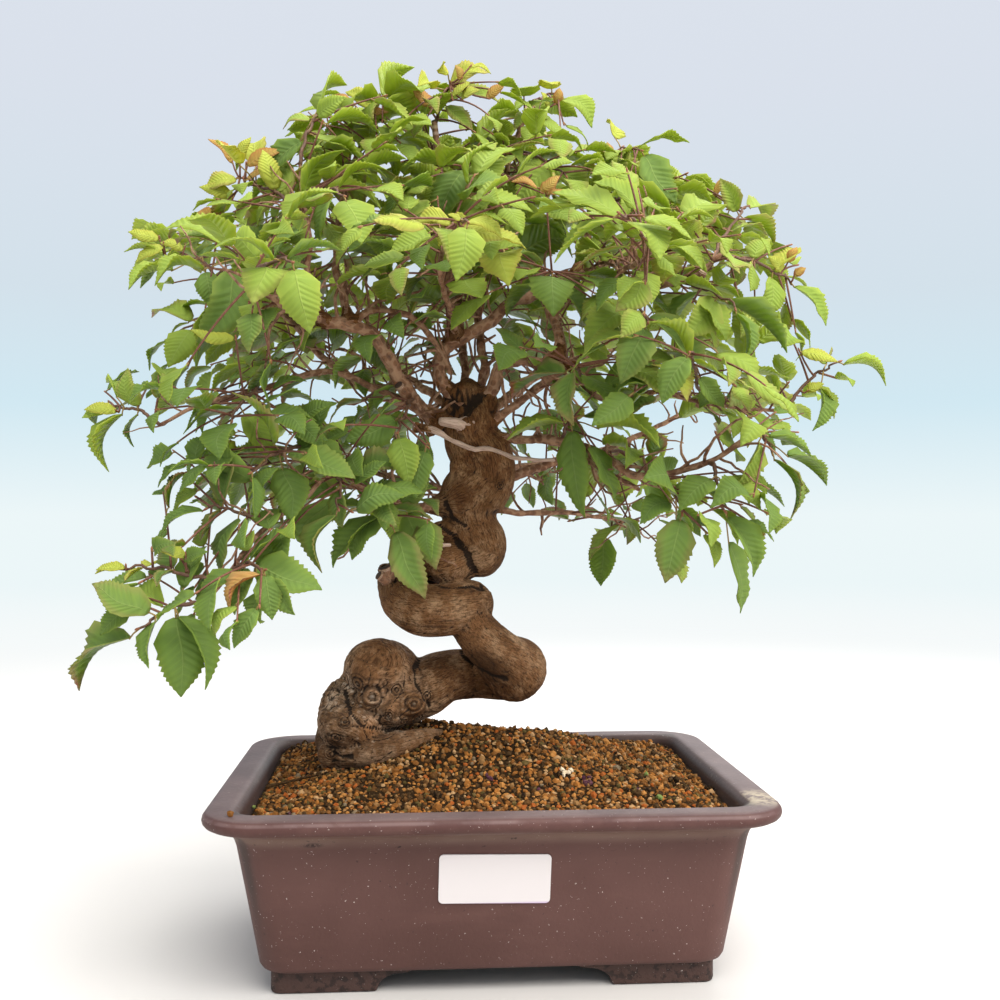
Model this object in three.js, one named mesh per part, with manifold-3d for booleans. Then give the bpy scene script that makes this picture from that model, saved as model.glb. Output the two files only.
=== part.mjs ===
// Korean hornbeam bonsai: a coiled trunk with a burl at its foot and a broad leafy crown, growing in a
// rectangular stoneware pot on four corner feet.
// Millimetres, +Z up. The origin is on the standing surface below the middle of the pot, +X is to the
// right of the pot's long front, and the front faces -Y.

import * as THREE from 'three';
import { mergeVertices } from 'three/addons/utils/BufferGeometryUtils.js';
import Module from 'manifold-3d';

// Driving dimensions of the pot
const RIM_WIDTH = 240;
const RIM_DEPTH = 185;
const RIM_TOP = 77.5;
const RIM_CORNER = 15;
const FOOT_HEIGHT = 9;
const DRAIN_RADIUS = 11;
const DRAIN_SPREAD = 52;
const DRAIN_SIDES = 20;

// Driving dimensions of the rest
const TOUCH_GAP = 0.3;
const SOIL_LEVEL = -2.5;
const SOIL_END_DROP = 4.5;
const MOUND = { height: 22, x: -13, y: 22, spreadX: 52, spreadY: 38 };
const GRAIN_RELIEF = 1.1;
const LABEL = {
  width: 45.7, height: 21.2, corner: 2, cornerSteps: 2, thickness: 0.5, x: -1, z: 48.5, tilt: 0.018,
};
const SCREEN = { width: 34, thickness: 1.2, strip: 3, openings: 2 };
const LEAF_THICKNESS = 0.7;
const LEAF_CLEARANCE = 0.45;
const CROWN = { left: -191, right: 195.5, front: -136, back: 136, top: 414, bottom: 94 };
const CROWN_MIDDLE = new THREE.Vector3(0, 0, 250);

// The forms of the tree were read from one level view of it, in which a place is given as a point
// (x, y) of a square 1000 wide, with y downward, and a depth, which is its Y.
const VIEW_MIDDLE = 500;
const VIEW_LENGTH = 1174;
const VIEW_EYE = new THREE.Vector3(-32.6, -555.8, RIM_TOP + 119.7);
const VIEW_TURN = 0.0703;
const VIEW_TILT = -0.0125;

const { Manifold, Mesh } = await loadSolids();

async function loadSolids() {
  const wasm = await Module();
  wasm.setup();
  return wasm;
}

function seen(x, y, depth) {
  const across = (x - VIEW_MIDDLE) / VIEW_LENGTH;
  const up = (VIEW_MIDDLE - y) / VIEW_LENGTH;
  const ahead = Math.cos(VIEW_TILT) + up * Math.sin(VIEW_TILT);
  const ray = new THREE.Vector3(
    across * Math.cos(VIEW_TURN) + ahead * Math.sin(VIEW_TURN),
    ahead * Math.cos(VIEW_TURN) - across * Math.sin(VIEW_TURN),
    up * Math.cos(VIEW_TILT) - Math.sin(VIEW_TILT),
  );
  return ray.multiplyScalar((depth - VIEW_EYE.y) / ray.y).add(VIEW_EYE);
}

// A repeatable draw between 0 and 1 from whole numbers
function draw(...keys) {
  let hash = 2166136261;
  for (const key of keys) {
    hash = Math.imul(hash ^ key, 16777619);
    hash ^= hash >>> 15;
    hash = Math.imul(hash, 1274126177);
  }
  hash ^= hash >>> 16;
  return (hash >>> 0) / 4294967296;
}

function between([low, high], ...keys) {
  return low + (high - low) * draw(...keys);
}

function within(reach, ...keys) {
  return between([-reach, reach], ...keys);
}

// The first key of a draw says what it is for
const FOR_SOIL_REACH = 900;
const FOR_SOIL_GRAIN = 901;
const FOR_TWIG = { x: 11, y: 12, z: 13 };
const FOR_WAVE = 21;
const FOR_SEEN_TIP = { depth: 31, x: 32, y: 33, facing: 34 };
const FOR_LEAF = { open: 41, droop: 42, x: 43, y: 44, z: 45, length: 46, facingX: 47, facingY: 48 };

// Solids
function solidFrom(geometry) {
  geometry.deleteAttribute('normal');
  geometry.deleteAttribute('uv');
  const merged = mergeVertices(geometry, 1e-4);
  return new Manifold(new Mesh({
    numProp: 3,
    vertProperties: new Float32Array(merged.attributes.position.array),
    triVerts: new Uint32Array(merged.index.array),
  }));
}

function geometryFrom(solid) {
  const mesh = solid.getMesh();
  const geometry = new THREE.BufferGeometry();
  geometry.setAttribute('position', new THREE.BufferAttribute(mesh.vertProperties, 3));
  geometry.setIndex(new THREE.BufferAttribute(mesh.triVerts, 1));
  geometry.computeVertexNormals();
  return geometry;
}

function joined(solids) {
  return solids.reduce((whole, solid) => whole.add(solid));
}

function largest(solid) {
  const parts = solid.decompose();
  return parts.reduce((most, part) => (part.volume() > most.volume() ? part : most));
}

// A closed skin through rings of points, all rings alike in number, with a fan over each end
function loft(rings) {
  const around = rings[0].length;
  const places = rings.flat().flatMap((point) => [point.x, point.y, point.z]);
  const index = [];
  for (let ring = 0; ring < rings.length - 1; ring += 1) {
    for (let i = 0; i < around; i += 1) {
      const a = ring * around + i;
      const b = ring * around + (i + 1) % around;
      index.push(a, b, b + around, a, b + around, a + around);
    }
  }
  const first = rings.length * around;
  for (const ring of [rings[0], rings[rings.length - 1]]) {
    const middle = new THREE.Vector3();
    for (const point of ring) middle.addScaledVector(point, 1 / around);
    places.push(middle.x, middle.y, middle.z);
  }
  const last = (rings.length - 1) * around;
  for (let i = 0; i < around; i += 1) {
    const next = (i + 1) % around;
    index.push(first, next, i, first + 1, last + i, last + next);
  }
  const geometry = new THREE.BufferGeometry();
  geometry.setAttribute('position', new THREE.Float32BufferAttribute(places, 3));
  geometry.setIndex(index);
  return geometry;
}

// A round bar along a way of points, with a radius at each point
function bar(way, radii, sides, steps) {
  const curve = new THREE.CatmullRomCurve3(way, false, 'catmullrom', 0.5);
  const frames = curve.computeFrenetFrames(steps, false);
  const geometry = new THREE.CylinderGeometry(1, 1, 1, sides, steps);
  const places = geometry.attributes.position;
  const point = new THREE.Vector3();
  for (let i = 0; i < places.count; i += 1) {
    point.fromBufferAttribute(places, i);
    const ring = Math.round((0.5 - point.y) * steps);
    const radius = radiusAt(radii, curve.getUtoTmapping(ring / steps));
    const place = curve.getPointAt(ring / steps);
    place.addScaledVector(frames.normals[ring], point.x * radius);
    place.addScaledVector(frames.binormals[ring], point.z * radius);
    places.setXYZ(i, place.x, place.y, place.z);
  }
  return solidFrom(geometry);
}

function radiusAt(radii, share) {
  const at = Math.min(share, 1) * (radii.length - 1);
  const low = Math.min(Math.floor(at), radii.length - 2);
  return radii[low] + (radii[low + 1] - radii[low]) * (at - low);
}

// A rounded lump, with this many rows of faces for each of its sides
const LUMP_ROWS = 0.6;

function lump(place, radii, sides) {
  const geometry = new THREE.SphereGeometry(1, sides, Math.ceil(LUMP_ROWS * sides));
  geometry.rotateX(Math.PI / 2);
  geometry.scale(...radii);
  geometry.translate(place.x, place.y, place.z);
  return solidFrom(geometry);
}

// Pot: one fired piece with an out-turned rim, a cove below it and tapering walls
const POT_SECTION = [
  // half width, half depth, corner radius, height
  [95.5, 68.5, 11, FOOT_HEIGHT],
  [98, 71, 13, FOOT_HEIGHT + 2.5],
  [107.5, 80.5, 13, 66.5],
  [109.5, 82.5, 13, 69.2],
  [116.5, 89, 14, 70.4],
  [119.4, 91.9, 15, 71.8],
  [RIM_WIDTH / 2, RIM_DEPTH / 2, RIM_CORNER, 74],
  [119.2, 91.7, 15, 76.2],
  [116.5, 89, 13.5, RIM_TOP],
  [107, 79.5, 8, RIM_TOP],
  [104.4, 76.9, 7, 76],
  [102.6, 75.1, 7, 66],
  [94.5, 67, 7, 21],
  [91, 63.5, 6, 18],
];
const POT_FLOOR = POT_SECTION[POT_SECTION.length - 1][3];
const CORNER_STEPS = 3;

function roundedRing([halfWidth, halfDepth, corner, height]) {
  const ring = [];
  for (let quarter = 0; quarter < 4; quarter += 1) {
    const signX = quarter === 0 || quarter === 3 ? 1 : -1;
    const signY = quarter < 2 ? 1 : -1;
    for (let step = 0; step <= CORNER_STEPS; step += 1) {
      const angle = (quarter + step / CORNER_STEPS) * Math.PI / 2;
      ring.push(new THREE.Vector3(
        signX * (halfWidth - corner) + corner * Math.cos(angle),
        signY * (halfDepth - corner) + corner * Math.sin(angle),
        height,
      ));
    }
  }
  return ring;
}

// One side of a corner foot: a block that ends in an ogee and a thin lip along the pot's floor
const FOOT_THICKNESS = 13;
const FOOT_SUNK = 1.5;
const OGEE = [[0, 0], [1.5, 2.6], [4, 5.2], [7.5, 6.8]];
const LIP_HEIGHT = 7.6;

function footBar(blockLength, lipLength) {
  const shape = new THREE.Shape();
  shape.moveTo(0, 0);
  for (const [x, y] of OGEE) shape.lineTo(blockLength + x, y);
  shape.lineTo(blockLength + lipLength, LIP_HEIGHT);
  shape.lineTo(blockLength + lipLength, FOOT_HEIGHT + FOOT_SUNK);
  shape.lineTo(0, FOOT_HEIGHT + FOOT_SUNK);
  shape.closePath();
  const geometry = new THREE.ExtrudeGeometry(shape, { depth: FOOT_THICKNESS, bevelEnabled: false });
  return geometry.rotateX(Math.PI / 2);
}

const FOOT_CORNER = { x: 93, y: 66 };
const FRONT_FOOT = { block: 43, lip: 15 };
const SIDE_FOOT = { block: 30, lip: 13 };

function footAt(signX, signY) {
  const alongX = footBar(FRONT_FOOT.block, FRONT_FOOT.lip);
  const alongY = footBar(SIDE_FOOT.block, SIDE_FOOT.lip).rotateZ(Math.PI / 2);
  const foot = solidFrom(alongX.translate(0, FOOT_THICKNESS, 0)).add(solidFrom(alongY));
  const turned = foot.scale([-signX, -signY, 1]);
  return turned.translate([signX * FOOT_CORNER.x, signY * FOOT_CORNER.y, 0]);
}

function pot() {
  let solid = solidFrom(loft(POT_SECTION.map(roundedRing)));
  for (const signX of [-1, 1]) {
    for (const signY of [-1, 1]) {
      solid = solid.add(footAt(signX, signY));
    }
  }
  for (const side of [-1, 1]) {
    const drain = new THREE.CylinderGeometry(DRAIN_RADIUS, DRAIN_RADIUS, 2 * POT_FLOOR, DRAIN_SIDES);
    drain.rotateX(Math.PI / 2);
    drain.translate(side * DRAIN_SPREAD, 0, POT_FLOOR);
    solid = solid.subtract(solidFrom(drain));
  }
  return solid;
}

// Label: a blank slip stuck on the sloping front wall
function labelSolid() {
  const { width, height, corner } = LABEL;
  const right = width / 2;
  const top = height / 2;
  const shape = new THREE.Shape();
  shape.moveTo(corner - right, -top);
  shape.lineTo(right - corner, -top);
  shape.absarc(right - corner, corner - top, corner, -Math.PI / 2, 0);
  shape.absarc(right - corner, top - corner, corner, 0, Math.PI / 2);
  shape.absarc(corner - right, top - corner, corner, Math.PI / 2, Math.PI);
  shape.absarc(corner - right, corner - top, corner, Math.PI, Math.PI * 1.5);
  const slip = new THREE.ExtrudeGeometry(shape, {
    depth: LABEL.thickness,
    bevelEnabled: false,
    curveSegments: LABEL.cornerSteps,
  });
  slip.rotateZ(LABEL.tilt);
  const [, lowDepth, , lowHeight] = POT_SECTION[1];
  const [, highDepth, , highHeight] = POT_SECTION[2];
  const slope = Math.atan2(highDepth - lowDepth, highHeight - lowHeight);
  slip.rotateX(Math.PI / 2 + slope);
  const wall = lowDepth + (LABEL.z - lowHeight) * Math.tan(slope);
  slip.translate(LABEL.x, -wall - TOUCH_GAP / Math.cos(slope), LABEL.z);
  return solidFrom(slip);
}

// Drainage screen: a square plastic mesh that lies over each drain hole
function screenSolid(side) {
  const { width, thickness, strip, openings } = SCREEN;
  const pitch = (width - strip) / openings;
  const strips = [];
  for (let row = 0; row <= openings; row += 1) {
    const away = row * pitch - (width - strip) / 2;
    strips.push(solidFrom(new THREE.BoxGeometry(width, strip, thickness).translate(0, away, 0)));
    strips.push(solidFrom(new THREE.BoxGeometry(strip, width, thickness).translate(away, 0, 0)));
  }
  const height = POT_FLOOR + TOUCH_GAP + thickness / 2;
  return joined(strips).translate([side * DRAIN_SPREAD, 0, height]);
}

// Soil: a gritty mound that is highest behind the trunk's foot
const SOIL_RINGS = 7;
const SOIL_WOBBLE = 0.05;
const SOIL_TOP_EDGE = [102.6, 75.1, 6.6, 0];
const SOIL_EDGE = [
  [90.4, 62.9, 6, POT_FLOOR + TOUCH_GAP],
  [94.1, 66.6, 6.6, 21.4],
  [102.2, 74.7, 6.6, 66],
];

function soilHeight(x, y) {
  const ends = SOIL_END_DROP * (Math.abs(x) / SOIL_TOP_EDGE[0]) ** 3;
  const acrossX = (x - MOUND.x) / MOUND.spreadX;
  const acrossY = (y - MOUND.y) / MOUND.spreadY;
  const mound = MOUND.height * Math.exp(-(acrossX ** 2 + acrossY ** 2) / 2);
  return RIM_TOP + SOIL_LEVEL - ends + mound;
}

function soilSolid(trunkHole) {
  const rings = SOIL_EDGE.map(roundedRing);
  const rim = roundedRing(SOIL_TOP_EDGE);
  for (let ring = 0; ring < SOIL_RINGS; ring += 1) {
    const share = 1 - ring / SOIL_RINGS;
    rings.push(rim.map((point, i) => {
      const wobble = ring === 0 ? 0 : SOIL_WOBBLE;
      const reach = share * (1 + within(wobble, FOR_SOIL_REACH, ring, i));
      const x = point.x * reach;
      const y = point.y * reach;
      const grain = within(GRAIN_RELIEF, FOR_SOIL_GRAIN, ring, i);
      return new THREE.Vector3(x, y, soilHeight(x, y) + grain);
    }));
  }
  let soil = solidFrom(loft(rings)).subtract(trunkHole);
  for (const side of [-1, 1]) {
    const room = SCREEN.width + 2 * TOUCH_GAP;
    const pocket = new THREE.BoxGeometry(room, room, 2 * (SCREEN.thickness + 2 * TOUCH_GAP));
    pocket.translate(side * DRAIN_SPREAD, 0, POT_FLOOR);
    soil = soil.subtract(solidFrom(pocket));
  }
  return largest(soil);
}

// Trunk: burl, coils and limbs, grown as one. Each bar is a way of [x, y, depth, radius] in the view.
const TRUNK_BARS = [
  // from the burl to the right and back
  [[396, 700, 10, 13.6], [424, 687, 13, 14.4], [447, 676, 18, 12.4], [474, 673, 22, 12.2],
    [508, 671, 17, 14.4]],
  // from the bulb up to the left in front
  [[513, 668, 10, 14.6], [494, 650, 1, 11.8], [474, 628, -2, 10.3], [464, 606, 1, 10.8]],
  // the hanging bowl of the next coil
  [[471, 604, 2, 11.2], [452, 609, -5, 12.4], [425, 610, -8, 12.6], [405, 599, -3, 11.6],
    [397, 584, 5, 9.4]],
  // its return behind
  [[399, 579, 8, 9.4], [424, 567, 12, 10.6], [452, 560, 8, 11.2], [478, 550, 5, 11.4]],
  // the upper trunk
  [[480, 545, 5, 11.4], [470, 518, 6, 12.8], [472, 498, 6, 16.2], [485, 477, 6, 14.8],
    [481, 456, 6, 14.8], [472, 438, 6, 13.4], [470, 418, 6, 12], [466, 398, 6, 8.6]],
  // the ridge of root along the soil
  [[332, 752, 2, 6.5], [362, 753, -7, 7], [398, 745, -6, 6.4], [428, 738, 2, 4.8], [455, 738, 14, 3]],
  // the flare into the limb at the lower left
  [[462, 500, 6, 11], [445, 504, 3, 6.5], [426, 507, -1, 3]],
  // the scarred stub at the coil's left end
  [[396, 586, 0, 5.4], [389, 577, -2, 4.6], [385, 570, -3, 3.6]],
];
// Lumps: [x, y, depth] of the middle, and the half sizes
const TRUNK_LUMPS = [
  [[382, 672, 10], [18.6, 17.5, 15.6]],
  [[361, 712, 9], [20.4, 18.5, 19]],
  [[356, 738, 10], [19.6, 17.5, 13]],
  [[396, 694, 5], [15, 15, 15]],
  [[413, 704, -5], [6.6, 6.4, 6.6]],
  [[371, 697, -8], [7, 5, 7]],
  [[328, 755, -3], [5.2, 5, 5.4]],
  [[514, 669, 12], [15.8, 15.6, 16.2]],
  [[449, 563, 2], [10.6, 11, 10.6]],
  [[482, 545, 5], [11.8, 13, 15.4]],
];
const TRUNK_FOOT = { x: 356, y: 740, depth: 10, radius: 18, taper: 4, deep: 28 };
const TRUNK_SIDES = 8;
const LUMP_SMALL = 8;
const LUMP_SIDES = { large: 9, small: 5 };

// Limbs: a way of [x, y, depth] in the view, then the thickness at the start and at the end
const LIMBS = {
  left_arm: [[[440, 425, 4], [419, 406, 0], [406, 388, -4], [393, 369, -8], [383, 349, -12],
    [373, 334, -15], [353, 326, -18], [323, 323, -22]], [7.8, 5.2]],
  left_riser: [[[324, 325, -21], [315, 301, -24], [307, 270, -26], [310, 243, -28], [304, 205, -28],
    [300, 165, -26]], [3.8, 1.8]],
  left_inner_riser: [[[350, 326, -18], [343, 293, -10], [336, 262, -2], [340, 215, 8], [352, 170, 14],
    [366, 130, 16]], [4.6, 1.7]],
  left_back: [[[445, 425, 8], [400, 400, 14], [360, 383, 22], [318, 353, 36], [293, 323, 46],
    [262, 300, 56], [222, 288, 66]], [5.4, 1.9]],
  left_front: [[[325, 321, -21], [296, 312, -48], [268, 296, -74], [248, 280, -96]], [3.6, 1.8]],
  left_arch: [[[353, 326, -18], [369, 311, -14], [409, 315, -2], [436, 344, 4], [450, 372, 5]],
    [2.8, 2.8]],
  left_level: [[[440, 425, 0], [395, 398, -4], [331, 372, -8], [267, 388, -14], [203, 404, -18],
    [160, 425, -20]], [3.8, 1.6]],
  left_low: [[[440, 508, 2], [392, 503, -14], [356, 483, -28], [331, 467, -38], [300, 447, -48]],
    [4, 1.9]],
  left_hanging: [[[331, 467, -38], [310, 493, -50], [280, 516, -60], [254, 540, -68], [228, 575, -76],
    [203, 605, -82]], [2.6, 1.7]],
  centre: [[[462, 405, 5], [441, 379, 4], [447, 349, 8], [489, 322, 12], [509, 305, 14], [542, 291, 14]],
    [7, 5]],
  centre_riser: [[[452, 345, 8], [450, 300, 14], [446, 250, 18], [441, 200, 18], [437, 165, 17],
    [435, 127, 16]], [4.4, 2.8]],
  centre_front: [[[459, 336, 10], [448, 305, -18], [440, 270, -50], [446, 238, -82]], [3.4, 1.7]],
  second: [[[472, 410, 8], [485, 371, 12], [480, 343, 20], [478, 300, 30], [486, 250, 40], [500, 200, 46],
    [512, 152, 46], [528, 108, 42]], [5, 2]],
  right_arm: [[[482, 415, 6], [496, 375, 0], [510, 362, -4], [554, 364, -6], [575, 362, -6]], [6.2, 4.2]],
  right_link: [[[556, 365, -6], [560, 340, -2], [552, 316, 5], [542, 291, 14]], [4.8, 4.6]],
  right_brace: [[[488, 425, 2], [527, 396, -4], [544, 383, -6], [566, 368, -6]], [3.8, 3.6]],
  right_level: [[[542, 291, 14], [571, 275, 10], [604, 282, 2], [650, 286, -10], [692, 278, -20],
    [720, 255, -27]], [5, 2.2]],
  right_riser: [[[575, 276, 9], [585, 250, 15], [592, 215, 24], [607, 160, 36]], [4, 2]],
  right_back: [[[575, 276, 9], [612, 262, 36], [655, 255, 66], [700, 250, 94]], [3.6, 1.7]],
  right_front: [[[604, 282, 2], [622, 270, -34], [640, 262, -68], [652, 250, -98]], [3.4, 1.7]],
  right_drooping: [[[570, 364, -6], [600, 398, -10], [659, 392, -14], [697, 401, -16], [730, 407, -18],
    [781, 411, -20]], [3.2, 1.6]],
  right_low: [[[490, 441, 4], [535, 439, -10], [592, 450, -26], [630, 473, -38], [659, 475, -46],
    [707, 463, -56], [755, 432, -66]], [5, 1.9]],
  right_low_fork: [[[565, 443, -18], [581, 458, -24], [621, 479, -32], [638, 489, -36]], [2.6, 1.8]],
  right_low_back: [[[492, 485, 12], [544, 465, 20], [592, 454, 32], [650, 430, 50], [705, 402, 66]],
    [5, 1.7]],
  right_lowest: [[[488, 508, 12], [531, 513, 22], [569, 513, 34], [595, 517, 44], [638, 521, 58]],
    [3.2, 1.7]],
  back_left: [[[468, 430, 14], [440, 400, 46], [395, 372, 78], [345, 350, 104]], [6, 1.9]],
  back_right: [[[474, 425, 14], [515, 392, 46], [560, 365, 76], [612, 350, 104]], [6, 1.9]],
  back_top: [[[468, 408, 12], [462, 340, 42], [455, 270, 66], [452, 205, 82]], [5, 1.9]],
  back_low_left: [[[470, 498, 18], [425, 485, 44], [370, 472, 72], [315, 462, 98]], [4.4, 1.8]],
  back_low: [[[482, 478, 18], [505, 470, 50], [545, 462, 84], [580, 455, 106]], [4.4, 1.8]],
  dead_twig: [[[413, 427, -13], [439, 432, -12], [464, 446, -9], [493, 451, -9], [528, 459, -15],
    [554, 460, -20]], [3, 1.8]],
  short_stub: [[[468, 430, -4], [455, 427, -9], [443, 427, -12]], [3, 2.6]],
  hooked_twig: [[[412, 506, -8], [415, 523, -14], [430, 543, -18], [450, 545, -18]], [2, 1.8]],
};
// Sides of a limb, from each thickness on
const LIMB_SIDES = [[5.5, 5], [3.6, 4], [0, 3]];

function limbWay(name) {
  return LIMBS[name][0].map(([x, y, depth]) => seen(x, y, depth));
}

function limbSolid(name, grow) {
  const way = limbWay(name);
  const [start, end] = LIMBS[name][1];
  const tip = way[way.length - 1];
  const ahead = tip.clone().sub(way[way.length - 2]).normalize();
  tip.addScaledVector(ahead, grow);
  const sides = LIMB_SIDES.find(([least]) => start >= least)[1];
  return bar(way, [start / 2 + grow, end / 2 + grow], sides, way.length - 1);
}

function trunkSolid(grow) {
  const bars = TRUNK_BARS.map((row) => {
    const way = row.map(([x, y, depth]) => seen(x, y, depth));
    return bar(way, row.map((point) => point[3] + grow), TRUNK_SIDES, row.length);
  });
  const lumps = TRUNK_LUMPS.map(([place, half]) => {
    const sides = half[0] > LUMP_SMALL ? LUMP_SIDES.large : LUMP_SIDES.small;
    return lump(seen(...place), half.map((size) => size + grow), sides);
  });
  const foot = new THREE.CylinderGeometry(
    TRUNK_FOOT.radius + grow,
    TRUNK_FOOT.radius - TRUNK_FOOT.taper + grow,
    TRUNK_FOOT.deep + grow,
    TRUNK_SIDES,
  );
  foot.rotateX(Math.PI / 2);
  const top = seen(TRUNK_FOOT.x, TRUNK_FOOT.y, TRUNK_FOOT.depth);
  foot.translate(top.x, top.y, top.z - (TRUNK_FOOT.deep + grow) / 2);
  const limbs = Object.keys(LIMBS).map((name) => limbSolid(name, grow));
  return joined([...bars, ...lumps, solidFrom(foot), ...limbs]);
}

// Leafy shoots. Each leaves a limb at a share of its way and ends at a point of the view, at a depth.
// Then come the number of leaves, their length, and the leaves placed one by one, each as the point
// where its stalk starts and the point of its tip, with its width where it isn't the usual one.
const SHOOTS = [
  ['left_hanging', 1, [140, 628, -92], 5, 27,
    [[200, 613, 181, 697], [180, 616, 149, 668], [184, 597, 130, 610], [134, 631, 82, 698],
    [198, 612, 205, 690]]],
  ['left_hanging', 0.86, [118, 569, -74], 5, 22,
    [[193, 545, 151, 562], [185, 562, 156, 590], [147, 564, 126, 581], [114, 569, 95, 574]]],
  ['left_hanging', 0.78, [264, 570, -96], 5, 26,
    [[255, 580, 272, 620], [267, 580, 295, 615], [255, 590, 255, 628], [234, 559, 229, 613],
    [264, 554, 322, 590]]],
  ['left_hanging', 0.5, [208, 508, -66], 5, 28, [[203, 480, 161, 536], [229, 480, 200, 539]]],
  ['left_low', 0.3, [391, 524, -46], 4, 30,
    [[392, 526, 425, 599, 17], [389, 514, 433, 520], [369, 516, 333, 568], [376, 520, 352, 560]]],
  ['left_low', 0.66, [338, 508, -66], 4, 28,
    [[338, 481, 308, 551, 18], [336, 511, 322, 573], [356, 487, 343, 528]]],
  ['left_low', 1, [252, 472, -72], 6, 27,
    [[300, 460, 254, 520], [270, 466, 236, 512], [284, 470, 290, 524]]],
  ['left_level', 1, [112, 408, -14], 6, 23,
    [[129, 412, 100, 388], [111, 412, 82, 418], [124, 418, 109, 472], [158, 421, 147, 459],
    [150, 416, 128, 368]]],
  ['left_level', 0.62, [232, 420, -60], 6, 26, [[262, 402, 223, 441], [250, 410, 262, 458]]],
  ['left_arm', 0.2, [398, 432, -48], 5, 25,
    [[392, 408, 345, 442, 19], [411, 415, 387, 446], [398, 440, 410, 486]]],
  ['left_riser', 0.45, [168, 262, -12], 6, 26,
    [[172, 262, 124, 252], [184, 263, 139, 292], [205, 266, 161, 296], [240, 280, 198, 343, 22],
    [225, 275, 214, 310]]],
  ['left_front', 1, [292, 262, -128], 5, 26, [[262, 272, 281, 322]]],
  ['left_riser', 0.72, [240, 178, -10], 5, 20,
    [[236, 190, 205, 190], [240, 181, 214, 148], [243, 178, 243, 140], [252, 190, 262, 150],
    [262, 200, 258, 226]]],
  ['left_riser', 1, [318, 110, -14], 5, 28,
    [[312, 122, 281, 130, 17], [306, 150, 268, 178], [316, 115, 345, 97], [305, 180, 262, 214]]],
  ['left_riser', 0.85, [344, 196, -74], 5, 28, [[330, 197, 387, 170], [320, 200, 325, 250]]],
  ['left_inner_riser', 1, [384, 98, 4], 5, 26, [[380, 112, 344, 93]]],
  ['left_back', 0.85, [176, 335, 58], 6, 26, [[200, 330, 165, 362]]],
  ['left_back', 1, [170, 232, 84], 7, 26, []],
  ['left_back', 0.6, [258, 222, 70], 5, 26, []],
  ['centre_riser', 1, [450, 84, -4], 6, 20,
    [[448, 92, 412, 95], [452, 86, 454, 68], [450, 84, 489, 72], [440, 104, 500, 103],
    [442, 108, 470, 130]]],
  ['centre_riser', 0.62, [476, 160, -30], 5, 27, [[470, 174, 437, 222, 18]]],
  ['centre_front', 1, [468, 222, -124], 6, 23,
    [[450, 230, 414, 224], [462, 224, 503, 240], [460, 226, 448, 212]]],
  ['second', 1, [560, 96, 30], 6, 23, [[552, 100, 556, 90], [545, 104, 592, 128]]],
  ['second', 0.86, [566, 176, -4], 6, 24, [[556, 172, 590, 212], [548, 168, 516, 206]]],
  ['right_level', 0.05, [552, 272, -38], 4, 30, [[546, 280, 575, 334, 19], [548, 276, 520, 318]]],
  ['right_level', 0.4, [648, 322, -74], 5, 30, [[639, 322, 620, 384, 26], [650, 326, 705, 376]]],
  ['right_level', 0.71, [735, 308, -66], 6, 28,
    [[725, 305, 744, 362, 17], [735, 302, 787, 353], [700, 300, 690, 345]]],
  ['right_level', 1, [790, 282, -12], 6, 22,
    [[784, 286, 826, 326], [790, 282, 798, 246], [770, 278, 764, 318]]],
  ['right_level', 0.92, [748, 206, 22], 6, 25, [[742, 216, 720, 178]]],
  ['right_riser', 1, [640, 150, 20], 6, 27, [[636, 158, 676, 204, 24], [620, 158, 607, 128]]],
  ['right_riser', 0.7, [676, 186, 62], 6, 27, []],
  ['right_front', 1, [620, 214, -126], 5, 27, [[634, 226, 596, 252]]],
  ['right_back', 0.75, [735, 232, 62], 6, 26, []],
  ['right_back', 1, [690, 205, 116], 6, 26, []],
  ['right_drooping', 1, [838, 362, -24], 6, 24,
    [[836, 363, 886, 386], [815, 376, 834, 419], [822, 372, 845, 352], [795, 392, 800, 436]]],
  ['right_drooping', 0.62, [690, 352, -92], 6, 28, [[694, 372, 724, 408], [690, 358, 662, 404]]],
  ['right_drooping', 0.12, [574, 366, -56], 5, 30, [[571, 368, 574, 426, 20], [562, 366, 520, 420]]],
  ['right_low', 0.24, [578, 416, -27], 4, 32,
    [[564, 424, 664, 442, 18], [562, 426, 507, 440], [568, 434, 585, 517, 18]]],
  ['right_low', 0.66, [682, 512, -66], 5, 27,
    [[681, 503, 656, 527], [680, 512, 665, 583], [664, 496, 640, 524]]],
  ['right_low', 0.84, [724, 510, -74], 5, 27, [[720, 503, 753, 577], [712, 508, 724, 598, 15]]],
  ['right_low', 1, [772, 452, -64], 6, 25,
    [[762, 456, 790, 520], [770, 455, 818, 490], [764, 446, 813, 458], [750, 440, 736, 486]]],
  ['right_low_back', 0.55, [655, 470, 66], 5, 26, [[640, 470, 644, 524]]],
  ['right_low_back', 1, [778, 402, 84], 6, 26, []],
  ['right_lowest', 1, [606, 532, 84], 5, 25, [[605, 526, 601, 586]]],
  // shoots of the far side
  ['back_left', 1, [262, 352, 118], 7, 26, []],
  ['back_left', 0.72, [392, 292, 122], 7, 26, []],
  ['back_right', 0.72, [548, 292, 122], 7, 26, []],
  ['back_right', 1, [702, 352, 118], 7, 26, []],
  ['back_top', 1, [505, 196, 120], 7, 26, []],
  ['back_top', 0.6, [396, 212, 112], 7, 26, []],
  ['second', 0.7, [478, 148, 84], 5, 26, []],
  ['back_low_left', 1, [248, 470, 112], 7, 26, []],
  ['back_low_left', 0.7, [345, 424, 118], 5, 26, []],
  ['back_low', 1, [640, 470, 124], 6, 26, []],
];

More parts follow.
